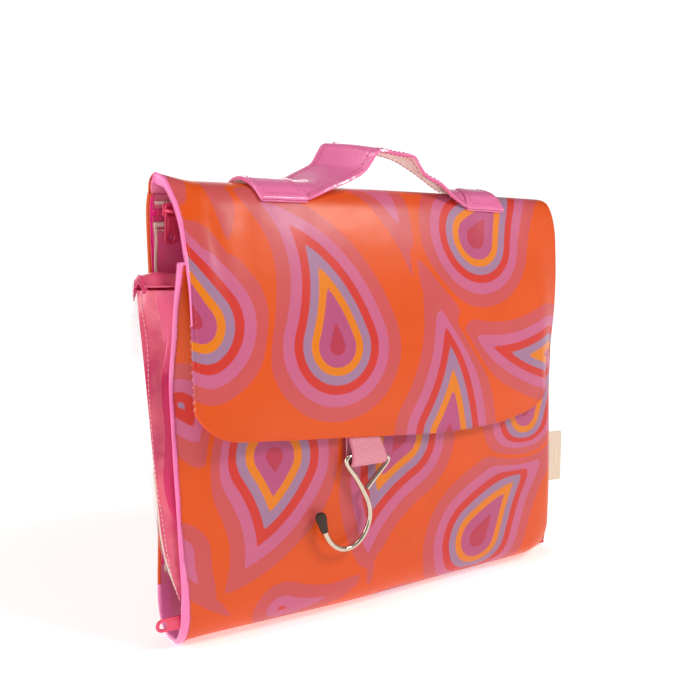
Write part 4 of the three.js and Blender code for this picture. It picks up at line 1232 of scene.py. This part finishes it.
def pull_piece(name, node, origin, u, w, h, body):
    """zip pull from its eye (around the origin) to its round end, in the CAD pull's own plane"""
    F4 = Matrix.Identity(4)
    u, w, h = (Vector(v).normalized() for v in (u, w, h))
    mid = Vector(origin) * MM + h * ((1.7 + 0.35 + 0.65) * MM)
    for i in range(3):
        F4[i][0], F4[i][1], F4[i][2], F4[i][3] = u[i], w[i], h[i], mid[i]
    outer = rounded(-4.2, 17.8, 3.6, 3.35, 1.9, 3.3)
    eye = rounded(-2.7, 3.0, 2.3, 2.2, 1.0, 1.0)
    hole = rounded(11.9, 16.4, 2.15, 2.1, 2.1, 2.05)
    plate = curve_plate(name, outer, [eye, hole], 1.0, 0.25, M_PAINT, F4)
    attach(plate, body)
    # raised rims
    for tag, loop, r in (("rim", rounded(-3.9, 17.5, 3.3, 3.05, 1.6, 3.0), 0.42), ("hole_rim", rounded(11.7, 16.6, 2.35, 2.3, 2.3, 2.25), 0.36)):
        p = catmull(np.array([(a, b, 0.0) for a, b in loop]), 120, closed=True)
        P3 = np.array([np.array(F4 @ Vector((x * MM, y * MM, 0.12 * MM))) / MM for x, y, _ in p])
        o = tube(f"{name}_{tag}", P3, r, [M_PAINT], sides=10, caps=False)
        declare(o)
        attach(o, body)
    # the pressed panel between the eye and the hole
    o = curve_plate(name + "_panel", rounded(4.2, 10.8, 2.0, 1.95, 0.7, 0.7), [], 1.3, 0.2, M_PAINT, F4)
    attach(o, body)
    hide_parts(node)


def slider_piece(name, node, origin, u, w, h, body, L=9.0, W=7.6, along_u=True):
    u, w, h = (Vector(v).normalized() for v in (u, w, h))
    F4 = Matrix.Identity(4)
    mid = Vector(origin) * MM + h * (1.15 * MM)
    a, b = (u, w) if along_u else (w, -u)
    for i in range(3):
        F4[i][0], F4[i][1], F4[i][2], F4[i][3] = a[i], b[i], h[i], mid[i]
    # shoulders wide, waist, heel: the usual slider outline
    top = [(-4.5, 2.2), (-3.6, 3.2), (-1.5, 3.75), (1.0, 3.7), (3.0, 3.0), (4.3, 1.9)]
    pts = catmull(np.array([(x, y, 0.0) for x, y in top + [(4.5, 0)] + [(x, -y) for x, y in top[::-1]] + [(-4.2, 0)]]), 72, closed=True)[:-1]
    s = curve_plate(name, [(p[0], p[1]) for p in pts], [], 1.1, 0.35, M_PAINT, F4)
    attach(s, body)
    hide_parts(node)
    # the bridge that holds the pull
    line = [(-3.0, 0, 0.2), (-2.6, 0, 2.1), (-1.2, 0, 3.5), (0.6, 0, 3.7), (2.2, 0, 2.7), (3.0, 0, 0.2)]
    P = catmull(np.array(line), 40)
    P3 = np.array([np.array(F4 @ (Vector(p) * MM)) / MM for p in P])
    o = tube(name + "_bridge", P3, 1.0, [M_PAINT], sides=14)
    declare(o)
    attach(o, body)


pa = (-129.0, 12.651001441226517, 232.4701892611189)
na = (0, -0.9762343614825539, -0.21671749228142614)
ua = (0, 0.21671749228142614, -0.9762343614825539)
wa = tuple(np.cross(na, ua))
slider_piece("upper_zip_slider", "upper_slider", pa, ua, wa, na, "upper_slider", along_u=False)
pull_piece("upper_zip_pull", "upper_pull", pa, ua, wa, na, "upper_pull")
pb = (-135.0, -16.09528188913137, 16.668222865050918)
nb = (0, 0.9995069497460208, 0.03139836634931557)
ub = (-1, 0, 0)
wb = tuple(np.cross(nb, ub))
slider_piece("pouch_zip_slider", "pouch_slider", pb, ub, wb, nb, "pouch_slider")
pull_piece("pouch_zip_pull", "pouch_pull", pb, ub, wb, nb, "pouch_pull")

# ------------------------------------------------------------------ pouch on the front panel's inside
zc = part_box("pouch_zip_coil")
Z_LOW = (zc[0].z + zc[1].z) / 2 / MM


def s_front(z, i=92):
    row = PP[i]
    k = np.nonzero(row[:, 1] < -8)[0]
    return float(np.interp(z, row[k, 2], PS[i][k]))


s_low = s_front(Z_LOW)
INF = (0, -1, 0)
front_extra = []
tl, _ = sheet_piece("pouch_tape_low", strip(PP, PN, PS, s_low - 7.6, s_low - 1.5, 2.75, -138, 137, 90, 8), 0.6, [M_TAPE], INF, "zip_tape")
th, _ = sheet_piece("pouch_tape_high", strip(PP, PN, PS, s_low + 1.5, s_low + 10.0, 2.75, -138, 137, 90, 8), 0.6, [M_TAPE], INF, "zip_tape")
c0, m0 = surf_at(PP, PN, 0, s_low)
coil_p = coil("pouch_coil_teeth", lambda x: (lambda pm: pm[0] - pm[1] * 3.6)(surf_at(PP, PN, x, s_low)), unit(np.cross(-m0, np.array([1.0, 0, 0]))), -m0, -136, 135.5)
declare(coil_p)
front_extra += [tl, th, coil_p]

# seam line between the gusset and the window (left), in x, y, z
W_L = [(-139.4, -16.6, 29.5), (-142.0, -16.2, 35.5), (-144.2, -14.8, 43), (-146.2, -13.2, 52), (-147.6, -11.2, 64.5), (-148.0, -8.6, 81), (-148.4, -6.2, 95), (-149.2, -3.6, 121), (-149.4, 0.4, 145),
       (-149.6, 3.6, 162), (-150.0, 6.2, 176), (-150.2, 7.8, 190)]
W_L = catmull(W_L, 100)


def front_inner(side, z, lift=2.6, x=None):
    i = 0 if side < 0 else -1
    p = PP[i] - PN[i] * lift
    k = np.arange(18, len(p))
    zz = p[k, 2]
    o = np.argsort(zz)
    return np.stack([np.interp(z, zz[o], p[k][o, j]) for j in range(3)], 1)


zg = W_L[:, 2]
F_L = front_inner(-1, zg)
F_L[:, 0] = F_L[:, 0] + 1.0
F_L[:, 1] = np.minimum(F_L[:, 1] + 0.4, W_L[:, 1] - 1.6)
# the crease between the gusset's two halves tucks inwards
crease = (W_L + F_L) / 2
gap = np.linalg.norm(W_L - F_L, axis=1)
crease[:, 0] = -141.5 + 2.0 * np.sin(zg / 21.0) + 1.0 * np.sin(zg / 8.0) - 1.0 * smooth01((zg - 150) / 30)
crease[:, 1] = W_L[:, 1] * 0.52 + F_L[:, 1] * 0.48
K = 17
G = np.zeros((len(zg), K, 3))
for j in range(K):
    u = j / (K - 1)
    if u < 0.5:
        a = u * 2
        p = W_L * (1 - a) + crease * a
        bow = math.sin(math.pi * a)
        p = p + np.stack([-1.3 * bow * np.ones(len(zg)) * (0.6 + 0.5 * np.sin(zg / 15.0)), -0.2 * bow * np.ones(len(zg)), 0 * zg], 1)
    else:
        a = (u - 0.5) * 2
        p = crease * (1 - a) + F_L * a
        bow = math.sin(math.pi * a)
        p = p + np.stack([-0.8 * bow * (1 + 0.6 * np.sin(zg / 11.0 + 1)), 0.1 * bow * np.ones(len(zg)), 0 * zg], 1)
    G[:, j] = p
# the inner half of the fold (columns 8 on) takes the darker hot pink copy of the gusset material: painted shade where
# the fold turns inwards
cm = np.zeros((len(zg) - 1, K - 1), int)
cm[:, 8:] = 1
s = np.stack([arc(p) for p in G])
gus_l, _ = shell("pouch_gusset_left_fold", G, 0.8, [M_SALMON, M_GUSSET_PAINTED_SHADE], (-1, 0, 0), uv=np.stack([s, np.repeat(zg[:, None], K, 1)], -1), col_mats=cm, back_mat=0)
declare(gus_l)
# right gusset: a plain inward fold
F_R = front_inner(1, zg)
F_R[:, 0] = 131.0
F_R[:, 1] += 1.2
W_R = np.stack([np.full(100, 130.6), F_R[:, 1] + np.interp(zg, [29.5, 60, 120, 190], [2.0, 3.0, 6.0, 13.0]), zg], 1)
K2 = 13
F_R[:, 0] -= 0.0
G2 = np.zeros((100, K2, 3))
for j in range(K2):
    u = j / (K2 - 1)
    p = W_R * (1 - u) + F_R * u
    d = 1 - abs(2 * u - 1)
    p[:, 0] -= 5.0 * d ** 0.8
    G2[:, j] = p
gus_r, _ = shell("pouch_gusset_right_fold", G2, 0.8, [M_SALMON], (1, 0, 0), uv=np.stack([np.stack([arc(p) for p in G2]), np.repeat(zg[:, None], K2, 1)], -1))
declare(gus_r)

# clear window of the pouch: bulges past the seam on the left
nw = 150
zw = zg
t = np.concatenate([np.linspace(0, 0.08, 26), np.linspace(0.08, 0.96, 104)[1:], np.linspace(0.96, 1.0, 22)[1:]])
nw = len(t)
PW = np.zeros((nw, len(zw), 3))
full = np.interp(zw, [29.5, 45, 70, 105, 118, 135, 156, 176, 190], [0.0, 0.3, 0.6, 0.75, 1.0, 1.35, 1.5, 0.9, 0.15])
left_pts = []
for k in range(len(zw)):
    x0, y0 = W_L[k, 0], W_L[k, 1]
    x1, y1 = W_R[k, 0], W_R[k, 1]
    f = full[k]
    b = 4.2 * f
    line = np.array([(x0, y0, 0), (x0 - 2.6 * f, y0 + 0.8 * f + 0.3, 0), (x0 - 4.0 * f, y0 + 2.6 * f + 0.5, 0), (x0 - 2.0 * f + 0.8, y0 + b + 0.6, 0), (x0 + 9, y0 + b + 1.0, 0), (x0 + 60, y0 + b + 1.2, 0),
                     (0, (y0 + y1) / 2 + b + 1.3, 0), (x1 - 50, y1 + b * 0.9 + 1.2, 0), (x1 - 8, y1 + b * 0.8 + 0.8, 0), (x1 + 0.6, y1 + b * 0.4 + 0.4, 0), (x1, y1, 0)])
    g = catmull(line, 500)
    sg = arc(g) / arc(g)[-1]
    p = np.stack([np.interp(t, sg, g[:, 0]), np.interp(t, sg, g[:, 1])], 1)
    PW[:, k, 0], PW[:, k, 1], PW[:, k, 2] = p[:, 0], p[:, 1], zw[k]
mx = smooth01((PW[..., 0] + 150) / 20) * smooth01((140 - PW[..., 0]) / 20) * np.sin(np.clip((PW[..., 2] - 29.5) / 160, 0, 1) * math.pi) ** 0.7
PW[..., 1] += bumps(PW[..., 0], PW[..., 2], 0.8, 31, 60, 8) * mx
PW[..., 1] = np.minimum(PW[..., 1], np.interp(PW[..., 2], [30, 100, 190], [11, 11.5, 12.2]))
# small fold in the bulge
fold = np.exp(-((PW[..., 2] - 150 - 0.35 * (PW[..., 0] + 152)) / 3.0) ** 2) * np.exp(-((PW[..., 0] + 151) / 7.0) ** 2)
PW[..., 0] += 1.3 * fold
win_p, _ = sheet_piece("pouch_clear_window", PW, 0.6, [M_CLEAR], (0, 1, 0), "clear_pvc")
# deep end of the pouch: a folded cap over gusset and window
zt = 191.0
xs = np.linspace(-151, 131.5, 140)
y_w = np.interp(xs, PW[:, -1, 0][np.argsort(PW[:, -1, 0])], PW[:, -1, 1][np.argsort(PW[:, -1, 0])])
yf = np.interp(xs, [-152, -139, -120, 0, 110, 132], [-9.8, -9.6, -9.8, -9.4, -8.4, -6.6])
K3 = 11
CAPP = np.zeros((len(xs), K3, 3))
for j in range(K3):
    u = j / (K3 - 1)
    y = y_w * (1 - u) + yf * u
    z = zt + 1.6 + 3.4 * math.sin(math.pi * min(u * 1.15, 1.0)) * np.interp(xs, [-152, -142, -128, -90, 138], [1.5, 2.2, 1.6, 0.6, 0.4]) + 0.5 * np.sin(xs / 7.0) * (1 - u)
    if j == 0:
        z = z - 3.6
        y = y + 0.9
    if j == 1:
        y = y_w + 0.8
    CAPP[:, j] = np.stack([xs, y, z], 1)
CAPP = np.stack([respace(catmull(p, 60), 18) for p in CAPP])
cap_p, capN = sheet_piece("pouch_end_cap", CAPP, 0.9, [M_SALMON], (0, 0, 1), "gusset")
front_extra += [gus_l, gus_r, win_p, cap_p]
# left closing edge of the cap: a small return that hangs over the gusset
yy = np.linspace(y_w[0] + 1.0, yf[0], 26)
ret = np.zeros((26, 6, 3))
for j in range(6):
    ret[:, j] = np.stack([np.full(26, -151.2 + 0.5 * math.sin(j)), yy, np.interp(yy, CAPP[0, ::-1, 1], CAPP[0, ::-1, 2]) + 0.3 - j * 0.8 - 0.35 * (1 + np.sin(yy * 1.6)) * (j / 5)], 1)
# the return takes the darker hot pink copy of the gusset material: painted shade
o, _ = sheet_piece("pouch_end_return", ret, 0.7, [M_GUSSET_PAINTED_SHADE], (-1, 0, 0), "gusset")
front_extra.append(o)
# stitches down the gusset's outer edge and along the cap
seg = [stitch_line(G[:, 2] + np.array([-0.25, -0.15, 0]), np.tile([-0.8, -0.6, 0.0], (len(zg), 1)), 2.6, 1.8)]
o = stitches("pouch_gusset_stitches", seg, 0.2, M_THREAD_PALE, 0.1)
declare(o)
front_extra.append(o)
seg = [stitch_line(np.stack([xs, y_w + 1.3, np.full(len(xs), zt - 1.0)], 1), np.tile([0.0, 1.0, 0.0], (len(xs), 1)), 2.6, 1.8),
       stitch_line(np.stack([np.full(26, -151.9), yy, ret[:, 3, 2]], 1), np.tile([-1.0, 0, 0.0], (26, 1)), 2.2, 1.6)]
o = stitches("pouch_cap_stitches", seg, 0.15, M_THREAD_ROSE, 0.2)
declare(o)
front_extra.append(o)
# pale edge of the window along the left seam, down to the zip: partly the film's edge, partly a painted highlight for
# the glint along it
edge_pts = W_L + np.array([-0.3, 0.5, 0])
nr = np.tile(unit(np.array([-0.75, -0.66, 0.0])), (len(edge_pts), 1))
low = edge_pts[:, 2] < 100
front_extra.append(binding("pouch_window_edge_painted_glint", edge_pts[low], nr[low], 1.1, 0.5, M_CLEAR_EDGE_AND_GLINT))
# a pale band up the gusset's inner edge near the top: partly the clear film's edge, partly a painted highlight for its
# glint
top_i = edge_pts[:, 2] > 150
e2 = F_L[top_i] + np.array([-0.2, 1.8, 0])
front_extra.append(binding("pouch_inner_edge_painted_glint", e2, nr[top_i], 1.0, 0.5, M_CLEAR_EDGE_AND_GLINT))
# lower edge of the window, sewn to the upper tape
lnw = np.stack([PW[:, 0, 0], PW[:, 0, 1] + 0.1, PW[:, 0, 2] + 1.0], 1)
o = binding("pouch_window_low_edge", respace(lnw[8:-8], 150), np.tile([0.0, 1.0, 0.0], (150, 1)), 2.4, 0.5, M_CLEAR_EDGE_AND_GLINT)
front_extra.append(o)
seg = [stitch_line(respace(lnw[8:-8], 150) + np.array([0, 0.6, 0]), np.tile([0.0, 1.0, 0.0], (150, 1)), 2.6, 1.9)]
o = stitches("pouch_window_stitches", seg, 0.2, M_THREAD_PALE, 0.1)
declare(o)
front_extra.append(o)
# height of the front panel 9 mm along the cloth above the pouch zip
z_t = float(surf_at(PP, PN, 0, s_low + 9.0)[0][2])

# ------------------------------------------------------------------ label
L0, L1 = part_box("side_label")
lx = np.linspace(137.6, L1.x / MM, 24)
lz = np.linspace(47.6, 82.6, 44)
LPm = np.zeros((24, 44, 3))
for i, x in enumerate(lx):
    u = (x - lx[0]) / (lx[-1] - lx[0])
    y = 1.4 - 0.4 * u + 0.5 * math.sin(2.6 * u) + 0.25 * np.sin(lz / 7.0) * u
    LPm[i] = np.stack([np.full(44, x) - 0.35 * (np.abs(lz - lz.mean()) > 16.2) * (i > 20), y, lz - 0.6 * u], 1)
# raised plain bars in the middle of the label
relief = np.zeros((24, 44))
for a0, a1, b0, b1 in ((0.40, 0.52, 0.16, 0.84), (0.62, 0.70, 0.30, 0.70)):
    uu = (lx - lx[0]) / (lx[-1] - lx[0])
    vv = (lz - lz[0]) / (lz[-1] - lz[0])
    relief += ((uu[:, None] > a0) & (uu[:, None] < a1) & (vv[None] > b0) & (vv[None] < b1)) * 0.22
LPm[..., 1] -= relief
label, _ = shell("side_label_fold", LPm, 1.2, [M_LABEL], (0, -1, 0), rim=0.45)
declare(label)
front_extra.append(label)

# ------------------------------------------------------------------ webbing
wx0, wx1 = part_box("webbing_loop")
wx0, wx1, = wx0.x / MM, wx1.x / MM


def web_surface(line, nrm, x0, x1, du=0.22, skew=None):
    s = arc(line)
    ns = int(s[-1] / du)
    L = respace(line, ns)
    Nn = unit(respace(nrm, ns))
    nx = int((x1 - x0) / du)
    X = np.linspace(x0, x1, nx)
    P = np.zeros((nx, ns, 3))
    S = np.linspace(0, s[-1], ns)
    ribs = 1 - np.abs(((S / 1.08) % 1) * 2 - 1) ** 2.4
    cols = 0.5 + 0.5 * np.cos(2 * math.pi * (X[:, None] / 1.5 + 0.5 * (np.floor(S / 1.08) % 2)[None]))
    rel = ribs[None] * (0.25 + 0.75 * cols ** 0.7)
    edge = 1 - 0.7 * (np.abs(X - (x0 + x1) / 2) > (x1 - x0) / 2 - 0.7)[:, None]
    rel = rel * edge
    for i, x in enumerate(X):
        P[i] = L + Nn * (0.34 * rel[i])[:, None]
        P[i, :, 0] = x
        if skew is not None:
            P[i] = skew(P[i], x, S)
    return P, rel, np.stack([np.repeat(X[:, None], ns, 1), np.repeat(S[None], nx, 0)], -1)


# the loop hangs from under the flap's edge and closes round the bar
cy = -31.0
path = [(0, -25.4, 112.0), (0, -25.9, 107.5), (0, -26.6, 103.0), (0, -27.2, 99.0), (0, -27.6, 95.0), (0, -28.4, 91.6), (0, -30.4, 89.8), (0, -32.6, 90.3), (0, -33.8, 92.3),
        (0, -33.6, 95.2), (0, -32.2, 98.6), (0, -30.2, 101.8), (0, -28.3, 105.0), (0, -27.4, 108.4), (0, -27.0, 112.0)]
lp = catmull(path, 260)
tn = unit(np.gradient(lp, axis=0))
ctr = np.array([0, cy + 0.4, 95.5])
nr = unit(np.cross(tn, np.array([1.0, 0, 0])))
if ((lp - ctr) * nr).sum() < 0:
    nr = -nr


def web_skew(p, x, S):
    u = (x - wx0) / (wx1 - wx0)
    p = p.copy()
    # the left side of the loop gapes a little
    g = np.exp(-((S - S.max() * 0.17) / 6.0) ** 2) * (1 - u) ** 2
    low = np.exp(-((p[:, 2] - 91.0) / 7.0) ** 2)
    p[:, 0] += (x - (wx0 + wx1) / 2) * 0.14 * low + 0.2 * g
    p[:, 0] -= 1.6 * (1 - u) ** 2 * np.exp(-((S - S.max() * 0.22) / 9.0) ** 2)
    return p


WP, rel, wuv = web_surface(lp, nr, wx0, wx1, skew=web_skew)
web, _ = shell("webbing_loop_woven", WP, 1.0, [M_WEB], lambda P: P - np.array([0, cy + 0.4, 95.5]) * np.array([0, 1, 1]) - P * np.array([1, 0, 0]), attrs={"relief": rel}, uv=wuv)
declare(web)

# ------------------------------------------------------------------ hook
Yh = -31.0
hp = [(-34.1, 75.9), (-31.2, 78.7), (-27.7, 82.1), (-22.3, 87.2), (-20.0, 89.6), (-19.3, 91.6),
      (-20.5, 93.1), (-23.3, 93.5), (-33, 94.5), (-43, 95.6), (-45.6, 95.5), (-47.1, 94.1),
      (-47.0, 92), (-45.6, 89.4), (-42.5, 85.2), (-38.9, 79.6), (-35.7, 73.5), (-33.4, 68.7), (-32.1, 63.4),
      (-32.3, 57.9), (-34.2, 52.7), (-37.3, 48.2), (-41.5, 44.9), (-46.1, 43.4), (-50.2, 43.6),
      (-54.2, 45.3), (-57.7, 48.3), (-60.1, 51.7), (-61.5, 54.9), (-62.3, 57.4)]
hl = catmull([(x, Yh, z) for x, z in hp], 420)
hook = tube("hook_wire_round", hl, 1.5, [M_METAL], sides=28)
declare(hook)
prof = catmull([(0.0, 0.0, 0), (1.75, 0.0, 0), (2.0, 0.25, 0), (2.15, 1.2, 0), (2.45, 3.4, 0), (2.85, 6.0, 0), (3.15, 8.2, 0), (3.05, 9.7, 0), (2.5, 10.9, 0), (1.5, 11.6, 0), (0.6, 11.85, 0), (0.02, 11.9, 0)], 48)
d = unit(np.array([-3.0, 0, 11.0]))
e1 = np.array([0.0, 1.0, 0.0])
e2 = np.cross(d, e1)
ang = np.linspace(0, 2 * math.pi, 40, endpoint=False)
base = np.array([-61.75, Yh, 55.35])
V = np.array([base + d * z + (r + 0.03 * math.sin(5 * a)) * (math.cos(a) * e1 + math.sin(a) * e2) for r, z, _ in prof for a in ang])
ii = np.arange(len(prof) - 1)[:, None] * 40
jj = np.arange(40)[None]
F = np.stack([ii + jj, ii + (jj + 1) % 40, ii + 40 + (jj + 1) % 40, ii + 40 + jj], -1).reshape(-1, 4)
if volume(V, F) < 0:
    F = F[:, ::-1]
tip = new_mesh("hook_rubber_tip", V, F, [M_RUBBER])
declare(tip)

# ------------------------------------------------------------------ handle
NEAR = [(-60.5, -11.8, 238.6), (-51.5, -13, 242.9), (-43.9, -13, 246.4), (-30.9, -13, 251.9), (-21.9, -13, 256.9), (-17.6, -13, 261.9), (-13.4, -13, 267.4), (-9.5, -13, 269.2), (3.0, -13, 268.3),
        (14.6, -13, 266.8), (18.4, -13, 261.9), (23.1, -13, 256.9), (34.5, -13, 252.2), (45.0, -12.6, 245.0), (57.5, -11.8, 238.4)]
FAR = [(-68.5, 14.5, 250.2), (-60.0, 18, 252.6), (-50.9, 20, 257.0), (-43.0, 20, 260.8), (-38.6, 20, 263.6), (-34.6, 20, 269.8), (-31.2, 20, 274.6), (-26.5, 20, 276.4), (-10.0, 20, 274.6),
       (6.0, 20, 273.2), (20.0, 20, 271.0), (32.0, 20, 266.4), (43.5, 20, 260.4), (56.0, 18, 252.8), (66.5, 14.5, 249.6)]
ne, fe = catmull(NEAR, 300), catmull(FAR, 300)
# line both edges up at their bends
kn, kf = arc(np.array(NEAR)), arc(np.array(FAR))
K4 = 22


def strap_grid():
    dn, df = catmull(NEAR, 1200), catmull(FAR, 1200)

    def param(dense, pts):
        idx = [int(np.argmin(np.linalg.norm(dense - np.array(p), axis=1))) for p in pts]
        return np.array(idx) / (len(dense) - 1)

    pn, pf = param(dn, NEAR), param(df, FAR)
    u = np.linspace(0, 1, 190)
    k = np.linspace(0, 1, len(NEAR))
    un, uf = hermite(k, pn, u), hermite(k, pf, u)
    A, B = respace(dn, un), respace(df, uf)
    G = np.zeros((len(u), K4, 3))
    for j in range(K4):
        v = j / (K4 - 1)
        G[:, j] = A * (1 - v) + B * v
    prof_ = FP[60][FP[60][:, 2] > 226]
    order = np.argsort(prof_[:, 1])
    top = np.interp(G[..., 1], prof_[order, 1], prof_[order, 2]) + 3.0
    gap = G[..., 2] - top
    G[..., 2] = top + 0.5 * (gap + np.sqrt(gap * gap + 1.5))
    N = grid_normals(G)
    N = N if N[..., 2].mean() > 0 else -N
    v = np.linspace(0, 1, K4)[None]
    G = G + N * (0.9 * np.sin(math.pi * v) * np.sin(math.pi * u)[:, None])[..., None]
    return G, u


SG, su = strap_grid()
N = grid_normals(SG)
N = N if N[..., 2].mean() > 0 else -N


def strap_piece(name, i0, i1):
    G = SG[i0:i1]
    s = np.stack([arc(p) for p in G])
    o, n = shell(name, G, 1.9, [M_STRAP, M_STRAP_BACK], (0, 0, 1), rim=0.4, back_mat=1, uv=np.stack([s, np.repeat(np.arange(len(G))[:, None] * 1.0, K4, 1)], -1))
    declare(o)
    return o


mid = int(len(SG) * 0.48)
strap_l = strap_piece("handle_strap_left", 0, mid + 1)
strap_r = strap_piece("handle_strap_right", mid, len(SG))


def strap_stitch(name, i0, i1):
    segs = []
    for jv in (2, K4 - 3):
        for sgn in (1, -1):
            line = SG[i0:i1, jv] + N[i0:i1, jv] * (0.1 if sgn > 0 else -2.0)
            segs.append(stitch_line(line, N[i0:i1, jv] * sgn, 3.1, 2.1))
    o = stitches(name, segs, 0.26, M_THREAD_ROSE, 0.35)
    declare(o)
    return o


st_l = strap_stitch("handle_stitches_left", 3, mid)
st_r = strap_stitch("handle_stitches_right", mid, len(SG) - 3)


# the strap's ends: folded patches sewn over the crest
def crest_line(x, off):
    """the flap's outer line at x, lifted by off, from the back seam to the front"""
    i = int(np.argmin(np.abs(FP[:, 10, 0] - x)))
    L = FP[i] + FN[i] * off
    return L


def patch(name, back_x, front_x, s_back, s_front, lift, t, shrink=0.0):
    """back_x, front_x: (x0, x1) of the patch at its back and front edges"""
    nx, ns = 36, 44
    P = np.zeros((nx, ns, 3))
    Nn = np.zeros((nx, ns, 3))
    for j in range(ns):
        v = j / (ns - 1)
        s = s_back + (s_front - s_back) * v
        xa = back_x[0] * (1 - v) + front_x[0] * v + shrink
        xb = back_x[1] * (1 - v) + front_x[1] * v - shrink
        for i in range(nx):
            x = xa + (xb - xa) * i / (nx - 1)
            p, m = surf_at(FP, FN, x, s)
            P[i, j] = p + m * (lift + 1.9 * smooth01(1 - v))
            Nn[i, j] = m
    o, _ = shell(name, P, t, [M_STRAP, M_STRAP_BACK], (0, 0, 1), rim=0.45, back_mat=1)
    declare(o)
    return o, P, Nn


def sdist(y_front, z):
    i = int(np.argmin(np.abs(FP[:, 10, 0] + 80)))
    return float(np.interp(-z, -FP[i][20:, 2], FS[i][20:]))


handle_bits = []
S_BACK = 1.8
for tag, bx, fx, box in (("left", (-95.0, -66.0), (-86.0, -58.5), 1), ("right", (63.0, 79.0), (55.5, 85.6), -1)):
    sf = sdist(-11, 237.4)
    lo_, Pl, Nl = patch(f"handle_patch_{tag}_under", bx, fx, S_BACK + 0.4, sf + 0.6, 1.1, 0.9, 0.3)
    up_, Pu, Nu = patch(f"handle_patch_{tag}_top", bx, fx, S_BACK, sf - 0.3, 2.5, 1.2)
    handle_bits += [lo_, up_]
    # folded end: a roll joining both layers at the outer side
    i = 0 if box > 0 else -1
    roll = np.stack([(Pl[i] + Pu[i]) / 2 - Nu[i] * 0.5], 1)[:, 0]
    o = tube(f"handle_patch_{tag}_fold", roll, 1.2, [M_STRAP], sides=14)
    declare(o)
    handle_bits.append(o)
    segs = []
    a, b, c_, d_ = 4, 31, 8, 39
    for line, nn in ((Pu[a:b + 1, c_], Nu[a:b + 1, c_]), (Pu[a:b + 1, d_], Nu[a:b + 1, d_]), (Pu[a, c_:d_ + 1], Nu[a, c_:d_ + 1]), (Pu[b, c_:d_ + 1], Nu[b, c_:d_ + 1])):
        segs.append(stitch_line(line + nn * 0.05, nn, 3.0, 2.0))
    o = stitches(f"handle_patch_{tag}_stitches", segs, 0.2, M_THREAD_ROSE, 0.4)
    declare(o)
    handle_bits.append(o)

# ------------------------------------------------------------------ what each piece rides on
for o in [flap, flap_lining] + fl:
    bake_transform(o)
for o in handle_bits:
    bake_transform(o)
for o in [back, back_lining] + [h[1] for h in hems if h[0] == "back"]:
    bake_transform(o)
for o in [front, front_lining] + [h[1] for h in hems if h[0] == "front"]:
    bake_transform(o)
for o in back_extra:
    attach(o, "back")
for o in front_extra:
    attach(o, "front")
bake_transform(web)
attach(hook, "hook")
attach(tip, "hook")
for o, a, b in ((strap_l, (-0.062, 0.0035, 0.2465), (-0.040, 0.0035, 0.2605)), (st_l, (-0.062, 0.0035, 0.2465), (-0.040, 0.0035, 0.2605)),
                (strap_r, (0.060, 0.0035, 0.2455), (0.034, 0.0035, 0.2600)), (st_r, (0.060, 0.0035, 0.2455), (0.034, 0.0035, 0.2600))):
    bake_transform(o)

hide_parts("flap_outer")
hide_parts("flap_lining")
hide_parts("back_outer", "base_outer")
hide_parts("back_lining", "base_lining")
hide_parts("front_outer")
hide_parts("front_lining")
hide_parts("upper_zip_tape_top")
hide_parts("upper_zip_tape_bottom")
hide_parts("upper_zip_coil")
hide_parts("upper_pocket_strip")
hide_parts("upper_pocket_window")
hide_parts("pouch_zip_tape_low")
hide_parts("pouch_zip_tape_high")
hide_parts("pouch_zip_coil")
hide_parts("pouch_window")
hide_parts("pouch_gusset_left")
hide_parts("pouch_gusset_right")
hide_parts("pouch_gusset_end")
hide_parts("side_label")
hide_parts("webbing_loop", "webbing_sewn_end")
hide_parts("wire_hook")
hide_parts("hook_tip")
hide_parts("handle_strap")
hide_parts("handle_end_left")
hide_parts("handle_end_right")


# ------------------------------------------------------------------ floor
def floor_piece():
    n, R = 90, 3.2
    V, F = [], []
    me = bpy.data.meshes.new("floor")
    for i in range(n):
        for j in range(n):
            V.append((-R + 2 * R * i / (n - 1), -R + 2 * R * j / (n - 1), 0.0))
    for i in range(n - 1):
        for j in range(n - 1):
            a = i * n + j
            F.append((a, a + n, a + n + 1, a + 1))
    me.from_pydata(V, [], F)
    k = Mat("pale_floor")
    vec = k.coord(scale=4.0, uv=False)
    c = k.scale_color((0.93, 0.925, 0.92, 1), k.noise(vec, 6.0, 3.0), 0.008)
    k.b.inputs["Specular IOR Level"].default_value = 0.1
    k.b.inputs["Emission Color"].default_value = (1, 1, 1, 1)
    far = k.node("ShaderNodeVectorMath", operation="LENGTH")
    k.link(k.coord(scale=1.0, uv=False), far.inputs[0])
    k.link(k.remap(far.outputs["Value"], 0.25, 1.1, 0.46, 0.8), k.b.inputs["Emission Strength"])
    me.materials.append(k.done(c, k.remap(k.noise(vec, 20.0, 2.0), 0, 1, 0.8, 0.95), None))
    o = bpy.data.objects.new("floor", me)
    scene.collection.objects.link(o)


floor_piece()
